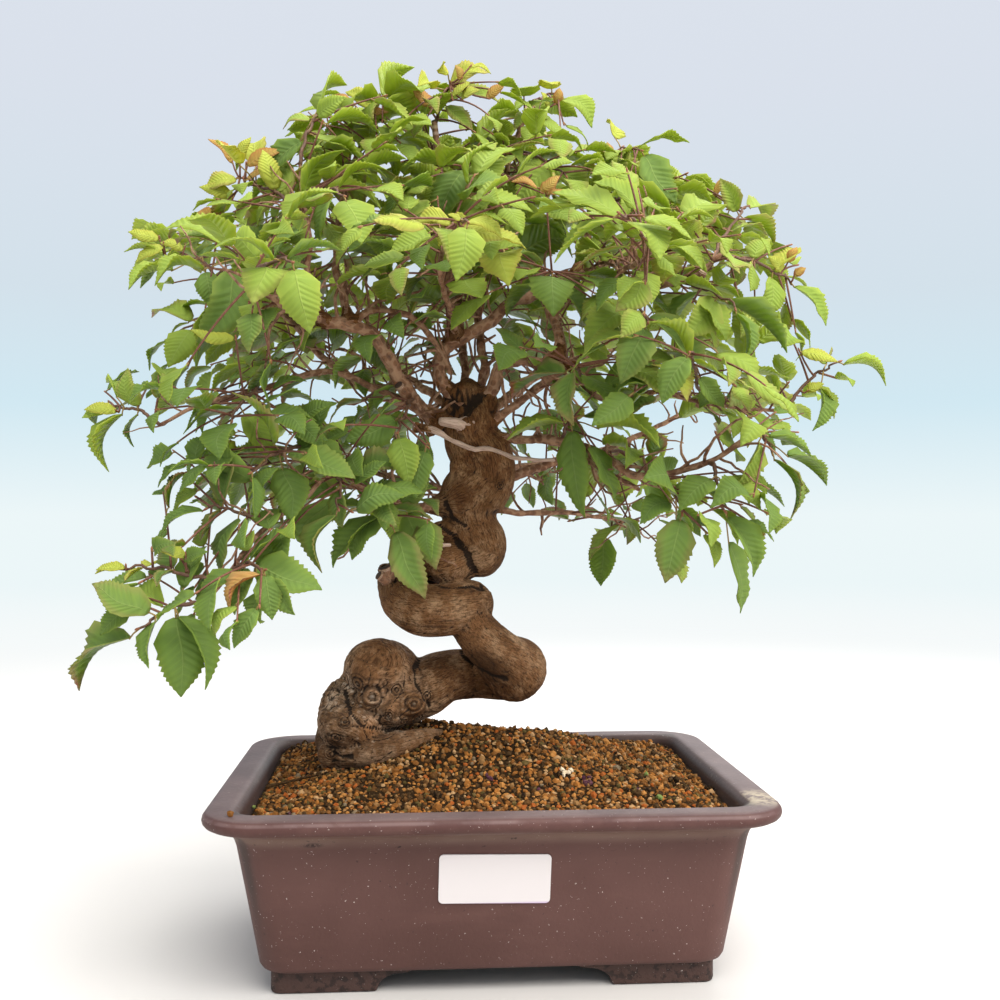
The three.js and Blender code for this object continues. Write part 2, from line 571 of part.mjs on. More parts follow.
// Twig of a shoot: a slim four-sided bar that rises a little from its limb and nods at its end
const TWIG_HALF_WIDTH = [1, 0.6];
const TWIG_HALF_THICKNESS = [0.9, 0.6];
const TWIG_ROOM = [1.5, 0.95];
const TWIG_ROOM_SIDES = 6;
const TWIG_ROOM_STEPS = 5;
const TWIG_TRIES = 9;
const TWIG_RISE = 6;
const TWIG_SWAY = 5;
const TWIG_ROOM_FROM = 0.02;
const TWIG_CLEAR_FROM = 0.25;
const UP = new THREE.Vector3(0, 0, 1);

function limbPoint(name, share) {
  return new THREE.CatmullRomCurve3(limbWay(name), false, 'catmullrom', 0.5).getPoint(share);
}

function twigCurve(shoot, attempt) {
  const [limb, share, end] = SHOOTS[shoot];
  const start = limbPoint(limb, share);
  const tip = seen(...end);
  const bend = start.clone().lerp(tip, 0.5);
  const sway = TWIG_SWAY * attempt;
  bend.x += within(sway, FOR_TWIG.x, shoot, attempt);
  bend.y += within(sway, FOR_TWIG.y, shoot, attempt);
  bend.z += TWIG_RISE + within(sway, FOR_TWIG.z, shoot, attempt);
  return new THREE.QuadraticBezierCurve3(start, bend, tip);
}

function twigRoom(curve, from) {
  const way = [];
  for (let step = 0; step <= TWIG_ROOM_STEPS; step += 1) {
    way.push(curve.getPoint(from + (1 - from) * step / TWIG_ROOM_STEPS));
  }
  return boxed(bar(way, TWIG_ROOM, TWIG_ROOM_SIDES, TWIG_ROOM_STEPS));
}

const OUTWARD = 0.6;
const UPWARD = 0.8;

function outwardAndUp(place) {
  const outward = place.clone().sub(CROWN_MIDDLE).normalize();
  return outward.multiplyScalar(OUTWARD).addScaledVector(UP, UPWARD);
}

// The directions of a twig at a share of its way: ahead, out of its face, and to its left
function twigFrame(shoot, curve, share) {
  const place = curve.getPoint(share);
  const ahead = curve.getTangent(share);
  const facing = SHOOTS[shoot][5].length
    ? new THREE.Vector3(0, ...SEEN_FACING)
    : outwardAndUp(place);
  const normal = facing.addScaledVector(ahead, -facing.dot(ahead)).normalize();
  const left = normal.clone().cross(ahead);
  return { place, ahead, normal, left };
}

// Leaf: an ovate blade, folded along its rib and waved along its edges
const LEAF_STATIONS = [[0.27, 0.41], [0.52, 0.5], [0.79, 0.29]];
const LEAF_WIDTH = 0.62;
const LEAF_FOLD = 0.3;
const LEAF_WAVE = 0.06;
const LEAF_WAVES = [0.4, 1];

function leafFrame(root, tip, facing) {
  const along = tip.clone().sub(root);
  const length = along.length();
  along.divideScalar(length);
  const normal = facing.clone().addScaledVector(along, -facing.dot(along)).normalize();
  const across = normal.clone().cross(along);
  return { root, tip, length, along, normal, across };
}

// One edge of a leaf from its stalk outward: side 1 is its left, -1 its right
function leafEdge({ root, length, along, normal, across }, width, key, side, extra) {
  return LEAF_STATIONS.map(([share, reach], i) => {
    const turn = (i + (side > 0 ? 0 : 1)) % 2 ? 1 : -1;
    const wave = LEAF_WAVE * width * turn * between(LEAF_WAVES, FOR_WAVE, key, i);
    return root.clone()
      .addScaledVector(along, share * length)
      .addScaledVector(across, side * (reach * width + extra))
      .addScaledVector(normal, LEAF_FOLD * reach * width + wave);
  });
}

// The closed skin of a thin sheet of triangles: every point is carried to both sides along its lift
function skinOf({ points, lifts, faces }) {
  const count = points.length;
  const places = [1, -1].flatMap((side) => (
    points.map((point, i) => point.clone().addScaledVector(lifts[i], side))
  ));
  const triangles = [];
  const edges = new Set();
  for (const [a, b, c] of faces) {
    triangles.push([a, b, c], [c + count, b + count, a + count]);
    for (const edge of [[a, b], [b, c], [c, a]]) edges.add(edge.join());
  }
  for (const edge of edges) {
    const [a, b] = edge.split(',').map(Number);
    if (!edges.has([b, a].join())) triangles.push([a, a + count, b + count], [a, b + count, b]);
  }
  return { places, triangles };
}

function sheetSolid(sheet) {
  const { places, triangles } = skinOf(sheet);
  const geometry = new THREE.BufferGeometry().setFromPoints(places);
  geometry.setIndex(triangles.flat());
  return solidFrom(geometry);
}

// Whether an edge of one triangle, away from what they share, passes through the other
function pierces(places, one, other) {
  const [a, b, c] = other.map((corner) => places[corner]);
  return one.some((corner, i) => {
    const next = one[(i + 1) % one.length];
    if (other.includes(corner) || other.includes(next)) return false;
    const way = places[next].clone().sub(places[corner]);
    const length = way.length();
    const met = new THREE.Ray(places[corner], way.normalize())
      .intersectTriangle(a, b, c, false, new THREE.Vector3());
    return met !== null && met.distanceTo(places[corner]) < length;
  });
}

function crossesItself(sheet) {
  const { places, triangles } = skinOf(sheet);
  const boxes = triangles.map((corners) => (
    new THREE.Box3().setFromPoints(corners.map((corner) => places[corner]))
  ));
  return triangles.some((one, i) => triangles.some((other, j) => (
    i !== j && boxes[i].intersectsBox(boxes[j]) && pierces(places, one, other)
  )));
}

// The room that a leaf takes, with clearance all round
function leafRoom({ frame, width, key }) {
  const extra = LEAF_CLEARANCE;
  const { root, length, along, normal } = frame;
  const tip = root.clone().addScaledVector(along, length + extra);
  const right = leafEdge(frame, width, key, -1, extra);
  const left = leafEdge(frame, width, key, 1, extra);
  const points = [root, ...right, tip, ...left.reverse()];
  const end = right.length + 1;
  const faces = [];
  for (let i = 0; i < points.length; i += 1) {
    const next = (i + 1) % points.length;
    if (i !== end && next !== end) faces.push([end, i, next]);
  }
  const lift = normal.clone().multiplyScalar(LEAF_THICKNESS / 2 + extra);
  return boxed(sheetSolid({ points, lifts: points.map(() => lift), faces }));
}

// Places for leaves on a shoot: pairs along the twig, one on its left and one on its right, and one
// at its end. A place holds the share of the twig where it is and the two corners that it grows from.
const PAIRS_FROM = 0.3;
const PAIRS_TO = 0.9;
const STALK_HALF = 0.7;

function leafPlaces(shoot, curve) {
  const pairs = Math.floor((SHOOTS[shoot][3] - 1) / 2);
  const places = [];
  for (let pair = 0; pair < pairs; pair += 1) {
    const share = PAIRS_FROM + (PAIRS_TO - PAIRS_FROM) * (pair + 0.5) / pairs;
    places.push({ share, side: 1, pair }, { share, side: -1, pair });
  }
  places.push({ share: 1, side: 0, pair: pairs });
  return places.map((place) => ({ ...place, ...twigFrame(shoot, curve, place.share), leaf: null }));
}

// The way from a place's first corner to its second, which the right edge of its leaf must face
function cornerWay({ side, ahead, left }) {
  return side === 0 ? left.clone().negate() : ahead.clone().multiplyScalar(side);
}

const LEAST_TURN = 0.15;

function suits(place, frame) {
  const right = frame.across.clone().negate();
  return right.dot(cornerWay(place)) > LEAST_TURN && frame.normal.dot(place.normal) > LEAST_TURN
    && (place.side === 0 || frame.along.dot(place.left) * place.side > LEAST_TURN);
}

// A leaf seen in the view: its tip is set, and only its depth is free
const SEEN_FACING = [-0.9, 0.6];
const SEEN_FACING_SWING = 0.5;
const SEEN_WIDTH = 0.57;
const SEEN_NEARER = 3;
const SEEN_DEPTH_SWING = 3;
const SEEN_SHIFT = 1.2;

function seenLeaf(place, row, key, attempt) {
  const [, , tipX, tipY, width] = row;
  const swing = SEEN_DEPTH_SWING * (attempt + 1);
  const shift = SEEN_SHIFT * attempt;
  const tip = seen(
    tipX + within(shift, FOR_SEEN_TIP.x, key, attempt),
    tipY + within(shift, FOR_SEEN_TIP.y, key, attempt),
    place.place.y - SEEN_NEARER + within(swing, FOR_SEEN_TIP.depth, key, attempt),
  );
  const sideways = within(SEEN_FACING_SWING, FOR_SEEN_TIP.facing, key, attempt);
  const facing = new THREE.Vector3(sideways, ...SEEN_FACING);
  const frame = leafFrame(place.place, tip, facing);
  return { frame, width: width ?? SEEN_WIDTH * frame.length, key };
}

// Any other leaf: it opens from the twig at an angle, in radians, and droops
const LEAF_OPEN = [0.5, 1.3];
const LEAF_DROOP = [0.15, 0.75];
const LEAF_LENGTHS = [0.86, 1.16];
const LEAF_SWING = 0.12;
const FACING_SWING = 0.35;

function freeLeaf(place, size, key, attempt) {
  const open = place.side ? between(LEAF_OPEN, FOR_LEAF.open, key, attempt) : 0;
  const swing = LEAF_SWING * attempt;
  const direction = place.ahead.clone().multiplyScalar(Math.cos(open));
  direction.addScaledVector(place.left, place.side * Math.sin(open));
  direction.x += within(swing, FOR_LEAF.x, key, attempt);
  direction.y += within(swing, FOR_LEAF.y, key, attempt);
  direction.z += within(swing, FOR_LEAF.z, key, attempt);
  direction.z -= between(LEAF_DROOP, FOR_LEAF.droop, key, attempt);
  const length = size * between(LEAF_LENGTHS, FOR_LEAF.length, key, attempt);
  const tip = place.place.clone().addScaledVector(direction.normalize(), length);
  const facing = outwardAndUp(place.place);
  facing.x += within(FACING_SWING, FOR_LEAF.facingX, key, attempt);
  facing.y += within(FACING_SWING, FOR_LEAF.facingY, key, attempt);
  return { frame: leafFrame(place.place, tip, facing), width: LEAF_WIDTH * length, key };
}

// Fitting: nothing may touch what belongs to another solid
function boxed(solid) {
  return { solid, box: solid.boundingBox() };
}

function meets(one, other) {
  for (let axis = 0; axis < 3; axis += 1) {
    if (one.box.min[axis] > other.box.max[axis] || other.box.min[axis] > one.box.max[axis]) return false;
  }
  const shared = one.solid.intersect(other.solid);
  const touching = !shared.isEmpty();
  shared.delete();
  return touching;
}

function insideCrown({ box: { min, max } }) {
  return min[0] > CROWN.left && max[0] < CROWN.right
    && min[1] > CROWN.front && max[1] < CROWN.back
    && min[2] > CROWN.bottom && max[2] < CROWN.top;
}

function placeTwig(shoot, others, trunkRoom) {
  for (let attempt = 0; attempt < TWIG_TRIES; attempt += 1) {
    const curve = twigCurve(shoot, attempt);
    const room = twigRoom(curve, TWIG_ROOM_FROM);
    const clearOfTrunk = !meets(twigRoom(curve, TWIG_CLEAR_FROM), trunkRoom);
    if (clearOfTrunk && !others.some((other) => meets(room, other.room))) {
      return { shoot, curve, room, places: leafPlaces(shoot, curve) };
    }
  }
  return null;
}

// Whether a leaf keeps clear of the trunk and of all that grows on the other twigs
function isFree(twig, room, twigs, trunkRoom) {
  if (meets(room, trunkRoom)) return false;
  return twigs.filter((other) => other !== twig).every((other) => {
    const grown = other.places.filter((there) => there.leaf);
    return !meets(room, other.room) && !grown.some((there) => meets(room, there.leaf.room));
  });
}

const TRIES = 20;

function growLeaf(twig, place, make, twigs, trunkRoom) {
  for (let attempt = 0; attempt < TRIES; attempt += 1) {
    const leaf = make(attempt);
    const room = leafRoom(leaf);
    if (suits(place, leaf.frame) && insideCrown(room) && isFree(twig, room, twigs, trunkRoom)) {
      place.leaf = { ...leaf, room };
      if (!crossesItself(shootSheet(twig))) return true;
    }
  }
  place.leaf = null;
  return false;
}

const KEYS_PER_SHOOT = 64;

function growSeenLeaves(twig, twigs, trunkRoom) {
  SHOOTS[twig.shoot][5].forEach((row, order) => {
    const key = twig.shoot * KEYS_PER_SHOOT + order;
    const distance = (place) => {
      const [x, y] = viewOf(place.place);
      return Math.hypot(x - row[0], y - row[1]);
    };
    const open = twig.places.filter((place) => !place.leaf);
    open.sort((one, other) => distance(one) - distance(other));
    open.find((place) => {
      const make = (attempt) => seenLeaf(place, row, key, attempt);
      return growLeaf(twig, place, make, twigs, trunkRoom);
    });
  });
}

function growFreeLeaves(twig, twigs, trunkRoom) {
  const size = SHOOTS[twig.shoot][4];
  twig.places.forEach((place, order) => {
    if (place.leaf) return;
    const key = (twig.shoot + 0.5) * KEYS_PER_SHOOT + order;
    growLeaf(twig, place, (attempt) => freeLeaf(place, size, key, attempt), twigs, trunkRoom);
  });
}

// A shoot as one thin sheet: the twig's ribbon with each leaf's blade growing out of its edge
function shootSheet(twig) {
  const points = [];
  const lifts = [];
  const faces = [];
  const add = (point, normal, half) => {
    lifts.push(normal.clone().multiplyScalar(half));
    return points.push(point) - 1;
  };
  const twigLength = twig.curve.getLength();
  const ring = (share) => {
    const { place, normal, left } = twigFrame(twig.shoot, twig.curve, share);
    const wide = radiusAt(TWIG_HALF_WIDTH, share);
    const thick = radiusAt(TWIG_HALF_THICKNESS, share);
    return [1, -1].map((side) => add(place.clone().addScaledVector(left, side * wide), normal, thick));
  };
  const bridge = ([leftA, rightA], [leftB, rightB]) => {
    faces.push([rightA, rightB, leftB], [rightA, leftB, leftA]);
  };
  const blade = ({ frame, width, key }, first, second) => {
    const half = LEAF_THICKNESS / 2;
    const right = leafEdge(frame, width, key, -1, 0).map((point) => add(point, frame.normal, half));
    const left = leafEdge(frame, width, key, 1, 0).map((point) => add(point, frame.normal, half));
    const tip = add(frame.tip, frame.normal, half);
    const outline = [...left.reverse(), first, second, ...right];
    outline.slice(1).forEach((corner, i) => faces.push([tip, outline[i], corner]));
  };
  let last = ring(0);
  const end = twig.places.length - 1;
  for (let i = 0; i < end; i += 2) {
    const [leftPlace, rightPlace] = twig.places.slice(i, i + 2);
    const reach = STALK_HALF / twigLength;
    const before = ring(leftPlace.share - reach);
    const after = ring(leftPlace.share + reach);
    bridge(last, before);
    bridge(before, after);
    if (leftPlace.leaf) blade(leftPlace.leaf, before[0], after[0]);
    if (rightPlace.leaf) blade(rightPlace.leaf, after[1], before[1]);
    last = after;
  }
  const tip = ring(1);
  bridge(last, tip);
  if (twig.places[end].leaf) blade(twig.places[end].leaf, tip[0], tip[1]);
  return { points, lifts, faces };
}

function crownSolids(trunkRoom) {
  const twigs = [];
  SHOOTS.forEach((row, shoot) => twigs.push(placeTwig(shoot, twigs.filter(Boolean), trunkRoom)));
  const standing = twigs.filter(Boolean);
  standing.forEach((twig) => growSeenLeaves(twig, standing, trunkRoom));
  standing.forEach((twig) => growFreeLeaves(twig, standing, trunkRoom));
  return twigs.map((twig) => twig && largest(sheetSolid(shootSheet(twig)).subtract(trunkRoom.solid)));
}

function viewOf(point) {
  const away = point.clone().sub(VIEW_EYE);
  const across = away.x * Math.cos(VIEW_TURN) - away.y * Math.sin(VIEW_TURN);
  const level = away.x * Math.sin(VIEW_TURN) + away.y * Math.cos(VIEW_TURN);
  const ahead = level * Math.cos(VIEW_TILT) - away.z * Math.sin(VIEW_TILT);
  const up = level * Math.sin(VIEW_TILT) + away.z * Math.cos(VIEW_TILT);
  return [VIEW_MIDDLE + VIEW_LENGTH * across / ahead, VIEW_MIDDLE - VIEW_LENGTH * up / ahead];
}

// Colours as the pieces look by daylight
const FINISH = {
  clay: { color: 0x684e48, roughness: 0.62, metalness: 0 },
  paper: { color: 0xf2f1f4, roughness: 0.5, metalness: 0 },
  plastic: { color: 0x23282a, roughness: 0.55, metalness: 0 },
  grit: { color: 0x8a5c34, roughness: 0.95, metalness: 0 },
  bark: { color: 0x7b6450, roughness: 0.85, metalness: 0 },
  leaf: { color: 0x4f8a34, roughness: 0.45, metalness: 0 },
};

const bonsai = new THREE.Group();

function addPiece(name, solid, finish) {
  const piece = new THREE.Mesh(geometryFrom(solid), new THREE.MeshStandardMaterial(FINISH[finish]));
  piece.name = name;
  bonsai.add(piece);
}

const trunkRoom = boxed(trunkSolid(TOUCH_GAP));

addPiece('pot', pot(), 'clay');
addPiece('label', labelSolid(), 'paper');
addPiece('drainage_screen_left', screenSolid(-1), 'plastic');
addPiece('drainage_screen_right', screenSolid(1), 'plastic');
addPiece('soil', soilSolid(trunkRoom.solid), 'grit');
addPiece('trunk', trunkSolid(0), 'bark');
crownSolids(trunkRoom).forEach((solid, shoot) => {
  if (solid) addPiece(`spray_${String(shoot + 1).padStart(2, '0')}`, solid, 'leaf');
});

export default bonsai;
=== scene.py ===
# Korean hornbeam bonsai: the finish of its clay pot, gritty soil, coiled wood and leafy crown.
# A piece is shaped in millimetres, +Z up, with the pot's front towards -Y, and is turned into metres
# when it is finished.

import math
from itertools import product

import bmesh
import bpy
from mathutils import Matrix, Vector, noise
from mathutils.bvhtree import BVHTree
from mathutils.kdtree import KDTree


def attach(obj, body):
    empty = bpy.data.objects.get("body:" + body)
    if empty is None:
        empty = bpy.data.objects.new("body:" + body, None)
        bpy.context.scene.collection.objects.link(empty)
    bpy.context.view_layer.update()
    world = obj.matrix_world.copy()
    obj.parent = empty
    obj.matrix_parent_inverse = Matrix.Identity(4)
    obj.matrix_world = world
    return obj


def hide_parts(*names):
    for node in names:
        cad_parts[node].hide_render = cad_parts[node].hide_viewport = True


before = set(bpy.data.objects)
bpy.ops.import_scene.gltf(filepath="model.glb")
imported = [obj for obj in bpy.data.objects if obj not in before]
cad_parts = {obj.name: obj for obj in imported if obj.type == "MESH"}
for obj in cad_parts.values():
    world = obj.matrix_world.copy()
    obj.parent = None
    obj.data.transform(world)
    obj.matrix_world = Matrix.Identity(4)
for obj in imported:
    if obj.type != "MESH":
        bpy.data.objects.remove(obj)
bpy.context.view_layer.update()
MM = 0.001
UP = Vector((0, 0, 1))


# Driving dimensions
RIM_TOP = 77.5
SOIL_HALF = (102.6, 75.1)
LABEL = {"width": 45.7, "height": 21.2, "corner": 2, "thickness": 0.5, "bevel": 0.12, "gap": 0.1, "x": -1,
         "z": 49.2, "tilt": -0.018}
SCREEN = {"width": 34, "thickness": 1.2, "cell": 2.6, "wire": 0.7, "lift": 0.3}
DRAIN_SPREAD = 52
CROWN_MIDDLE = Vector((0, 0, 250))


# The view that the forms of the tree were read from: a square 1000 wide, y downward, and a depth in Y
VIEW_MIDDLE = 500
VIEW_LENGTH = 1174
VIEW_EYE = Vector((-32.6, -555.8, 197.2))
VIEW_TURN = 0.0703
VIEW_TILT = -0.0125


def seen(x, y, depth):
    """The place at a depth that stands at a point of the view."""
    across = (x - VIEW_MIDDLE) / VIEW_LENGTH
    up = (VIEW_MIDDLE - y) / VIEW_LENGTH
    ahead = math.cos(VIEW_TILT) + up * math.sin(VIEW_TILT)
    ray = Vector((
        across * math.cos(VIEW_TURN) + ahead * math.sin(VIEW_TURN),
        ahead * math.cos(VIEW_TURN) - across * math.sin(VIEW_TURN),
        up * math.cos(VIEW_TILT) - math.sin(VIEW_TILT),
    ))
    return VIEW_EYE + ray * ((depth - VIEW_EYE.y) / ray.y)


def view_of(point):
    """The point of the view at which a place stands."""
    away = point - VIEW_EYE
    across = away.x * math.cos(VIEW_TURN) - away.y * math.sin(VIEW_TURN)
    level = away.x * math.sin(VIEW_TURN) + away.y * math.cos(VIEW_TURN)
    ahead = level * math.cos(VIEW_TILT) - away.z * math.sin(VIEW_TILT)
    up = level * math.sin(VIEW_TILT) + away.z * math.cos(VIEW_TILT)
    return VIEW_MIDDLE + VIEW_LENGTH * across / ahead, VIEW_MIDDLE - VIEW_LENGTH * up / ahead


# Draws that repeat: the first key of each says what it is for, and the others say which piece it is for
WORD = 0xFFFFFFFF
DRAW_START = 2166136261
DRAW_STEP = 16777619
DRAW_MIX = 1274126177


def draw(*keys):
    """A number between 0 and 1 from whole numbers."""
    value = DRAW_START
    for key in keys:
        value = ((value ^ (key & WORD)) * DRAW_STEP) & WORD
        value ^= value >> 15
        value = (value * DRAW_MIX) & WORD
    value ^= value >> 16
    return value / (WORD + 1)


def between(limits, *keys):
    return limits[0] + (limits[1] - limits[0]) * draw(*keys)


def within(reach, *keys):
    return between((-reach, reach), *keys)


def drawn_vector(reach, use, *keys):
    """A vector with each part within a reach, from three uses in a row."""
    return Vector([within(reach, use + axis, *keys) for axis in range(3)])


# Ways: a smooth line through a few points
STEPS_PER_POINT = 24


def way_point(way, share):
    at = min(max(share, 0), 1) * (len(way) - 1)
    low = min(int(at), len(way) - 2)
    t = at - low
    start, end = way[low], way[low + 1]
    before = way[low - 1] if low else start * 2 - end
    after = way[low + 2] if low + 2 < len(way) else end * 2 - start
    leave, arrive = (end - before) / 2, (after - start) / 2
    return (start * (2 * t ** 3 - 3 * t ** 2 + 1) + leave * (t ** 3 - 2 * t ** 2 + t)
            + end * (3 * t ** 2 - 2 * t ** 3) + arrive * (t ** 3 - t ** 2))


def steps_along(way, pace):
    """Points about evenly spaced along a way, each with its share of the way."""
    fine = STEPS_PER_POINT * (len(way) - 1)
    points = [way_point(way, i / fine) for i in range(fine + 1)]
    lengths = [0.0]
    for i in range(fine):
        lengths.append(lengths[-1] + (points[i + 1] - points[i]).length)
    count = max(2, round(lengths[-1] / pace))
    found = []
    at = 0
    for step in range(count + 1):
        target = lengths[-1] * step / count
        while at < fine - 1 and lengths[at + 1] < target:
            at += 1
        past = (target - lengths[at]) / max(lengths[at + 1] - lengths[at], 1e-9)
        found.append((points[at].lerp(points[at + 1], min(past, 1)), (at + past) / fine))
    return found


def value_at(values, share):
    """The value at a share of an even row of values."""
    at = min(max(share, 0), 1) * (len(values) - 1)
    low = min(int(at), len(values) - 2)
    return values[low] + (values[low + 1] - values[low]) * (at - low)


# The tree as it is seen: places are x and y of the view and a depth, sizes are in millimetres
TRUNK_BARS = [
    # each station's place and radius, from the burl to the right and back
    [[396, 700, 10, 13.6], [424, 687, 13, 14.4], [447, 676, 18, 12.4], [474, 673, 22, 12.2],
        [508, 671, 17, 14.4]],
    # from the bulb up to the left in front
    [[513, 668, 10, 14.6], [494, 650, 1, 11.8], [474, 628, -2, 10.3], [464, 606, 1, 10.8]],
    # the hanging bowl of the next coil
    [[471, 604, 2, 11.2], [452, 609, -5, 12.4], [425, 610, -8, 12.6], [405, 599, -3, 11.6],
        [397, 584, 5, 9.4]],
    # its return behind
    [[399, 579, 8, 9.4], [424, 567, 12, 10.6], [452, 560, 8, 11.2], [478, 550, 5, 11.4]],
    # the upper trunk
    [[480, 545, 5, 11.4], [470, 518, 6, 12.8], [472, 498, 6, 16.2], [485, 477, 6, 14.8],
        [481, 456, 6, 14.8], [472, 438, 6, 13.4], [470, 418, 6, 12], [466, 398, 6, 8.6]],
    # the ridge of root along the soil
    [[332, 752, 2, 6.5], [362, 753, -7, 7], [398, 745, -6, 6.4], [428, 738, 2, 4.8], [455, 738, 14, 3]],
    # the flare into the limb at the lower left
    [[462, 500, 6, 11], [445, 504, 3, 6.5], [426, 507, -1, 3]],
    # the scarred stub at the coil's left end
    [[396, 586, 0, 5.4], [389, 577, -2, 4.6], [385, 570, -3, 3.6]],
]

TRUNK_LUMPS = [
    # place, radii
    [[382, 672, 10], [18.6, 17.5, 15.6]],
    [[361, 712, 9], [20.4, 18.5, 19]],
    [[356, 738, 10], [19.6, 17.5, 13]],
    [[396, 694, 5], [15, 15, 15]],
    [[413, 704, -5], [6.6, 6.4, 6.6]],
    [[371, 697, -8], [7, 5, 7]],
    [[328, 755, -3], [5.2, 5, 5.4]],
    [[514, 669, 12], [15.8, 15.6, 16.2]],
    [[449, 563, 2], [10.6, 11, 10.6]],
    [[482, 545, 5], [11.8, 13, 15.4]],
]

LIMBS = {
    # places along it, and its thickness at the start and at the end
    "left_arm": [[[440, 425, 4], [419, 406, 0], [406, 388, -4], [393, 369, -8], [383, 349, -12],
        [373, 334, -15], [353, 326, -18], [323, 323, -22]], [7.8, 5.2]],
    "left_riser": [[[324, 325, -21], [315, 301, -24], [307, 270, -26], [310, 243, -28], [304, 205, -28],
        [300, 165, -26]], [3.8, 1.8]],
    "left_inner_riser": [[[350, 326, -18], [343, 293, -10], [336, 262, -2], [340, 215, 8], [352, 170, 14],
        [366, 130, 16]], [4.6, 1.7]],
    "left_back": [[[445, 425, 8], [400, 400, 14], [360, 383, 22], [318, 353, 36], [293, 323, 46],
        [262, 300, 56], [222, 288, 66]], [5.4, 1.9]],
    "left_front": [[[325, 321, -21], [296, 312, -48], [268, 296, -74], [248, 280, -96]], [3.6, 1.8]],
    "left_arch": [[[353, 326, -18], [369, 311, -14], [409, 315, -2], [436, 344, 4], [450, 372, 5]],
        [2.8, 2.8]],
    "left_level": [[[440, 425, 0], [395, 398, -4], [331, 372, -8], [267, 388, -14], [203, 404, -18],
        [160, 425, -20]], [3.8, 1.6]],
    "left_low": [[[440, 508, 2], [392, 503, -14], [356, 483, -28], [331, 467, -38], [300, 447, -48]],
        [4, 1.9]],
    "left_hanging": [[[331, 467, -38], [310, 493, -50], [280, 516, -60], [254, 540, -68], [228, 575, -76],
        [203, 605, -82]], [2.6, 1.7]],
    "centre": [[[462, 405, 5], [441, 379, 4], [447, 349, 8], [489, 322, 12], [509, 305, 14],
        [542, 291, 14]], [7, 5]],
    "centre_riser": [[[452, 345, 8], [450, 300, 14], [446, 250, 18], [441, 200, 18], [437, 165, 17],
        [435, 127, 16]], [4.4, 2.8]],
    "centre_front": [[[459, 336, 10], [448, 305, -18], [440, 270, -50], [446, 238, -82]], [3.4, 1.7]],
    "second": [[[472, 410, 8], [485, 371, 12], [480, 343, 20], [478, 300, 30], [486, 250, 40],
        [500, 200, 46], [512, 152, 46], [528, 108, 42]], [5, 2]],
    "right_arm": [[[482, 415, 6], [496, 375, 0], [510, 362, -4], [554, 364, -6], [575, 362, -6]],
        [6.2, 4.2]],
    "right_link": [[[556, 365, -6], [560, 340, -2], [552, 316, 5], [542, 291, 14]], [4.8, 4.6]],
    "right_brace": [[[488, 425, 2], [527, 396, -4], [544, 383, -6], [566, 368, -6]], [3.8, 3.6]],
    "right_level": [[[542, 291, 14], [571, 275, 10], [604, 282, 2], [650, 286, -10], [692, 278, -20],
        [720, 255, -27]], [5, 2.2]],
    "right_riser": [[[575, 276, 9], [585, 250, 15], [592, 215, 24], [607, 160, 36]], [4, 2]],
    "right_back": [[[575, 276, 9], [612, 262, 36], [655, 255, 66], [700, 250, 94]], [3.6, 1.7]],
    "right_front": [[[604, 282, 2], [622, 270, -34], [640, 262, -68], [652, 250, -98]], [3.4, 1.7]],
    "right_drooping": [[[570, 364, -6], [600, 398, -10], [659, 392, -14], [697, 401, -16], [730, 407, -18],
        [781, 411, -20]], [3.2, 1.6]],
    "right_low": [[[490, 441, 4], [535, 439, -10], [592, 450, -26], [630, 473, -38], [659, 475, -46],
        [707, 463, -56], [755, 432, -66]], [5, 1.9]],
    "right_low_fork": [[[565, 443, -18], [581, 458, -24], [621, 479, -32], [638, 489, -36]], [2.6, 1.8]],
    "right_low_back": [[[492, 485, 12], [544, 465, 20], [592, 454, 32], [650, 430, 50], [705, 402, 66]],
        [5, 1.7]],
    "right_lowest": [[[488, 508, 12], [531, 513, 22], [569, 513, 34], [595, 517, 44], [638, 521, 58]],
        [3.2, 1.7]],
    "back_left": [[[468, 430, 14], [440, 400, 46], [395, 372, 78], [345, 350, 104]], [6, 1.9]],
    "back_right": [[[474, 425, 14], [515, 392, 46], [560, 365, 76], [612, 350, 104]], [6, 1.9]],
    "back_top": [[[468, 408, 12], [462, 340, 42], [455, 270, 66], [452, 205, 82]], [5, 1.9]],
    "back_low_left": [[[470, 498, 18], [425, 485, 44], [370, 472, 72], [315, 462, 98]], [4.4, 1.8]],
    "back_low": [[[482, 478, 18], [505, 470, 50], [545, 462, 84], [580, 455, 106]], [4.4, 1.8]],
    "dead_twig": [[[413, 427, -13], [439, 432, -12], [464, 446, -9], [493, 451, -9], [528, 459, -15],
        [554, 460, -20]], [3, 1.8]],
    "short_stub": [[[468, 428, -4], [455, 422, -10], [441, 421, -13]], [5.6, 4.6]],
    "hooked_twig": [[[412, 506, -8], [415, 523, -14], [430, 543, -18], [450, 545, -18]], [2, 1.8]],
}

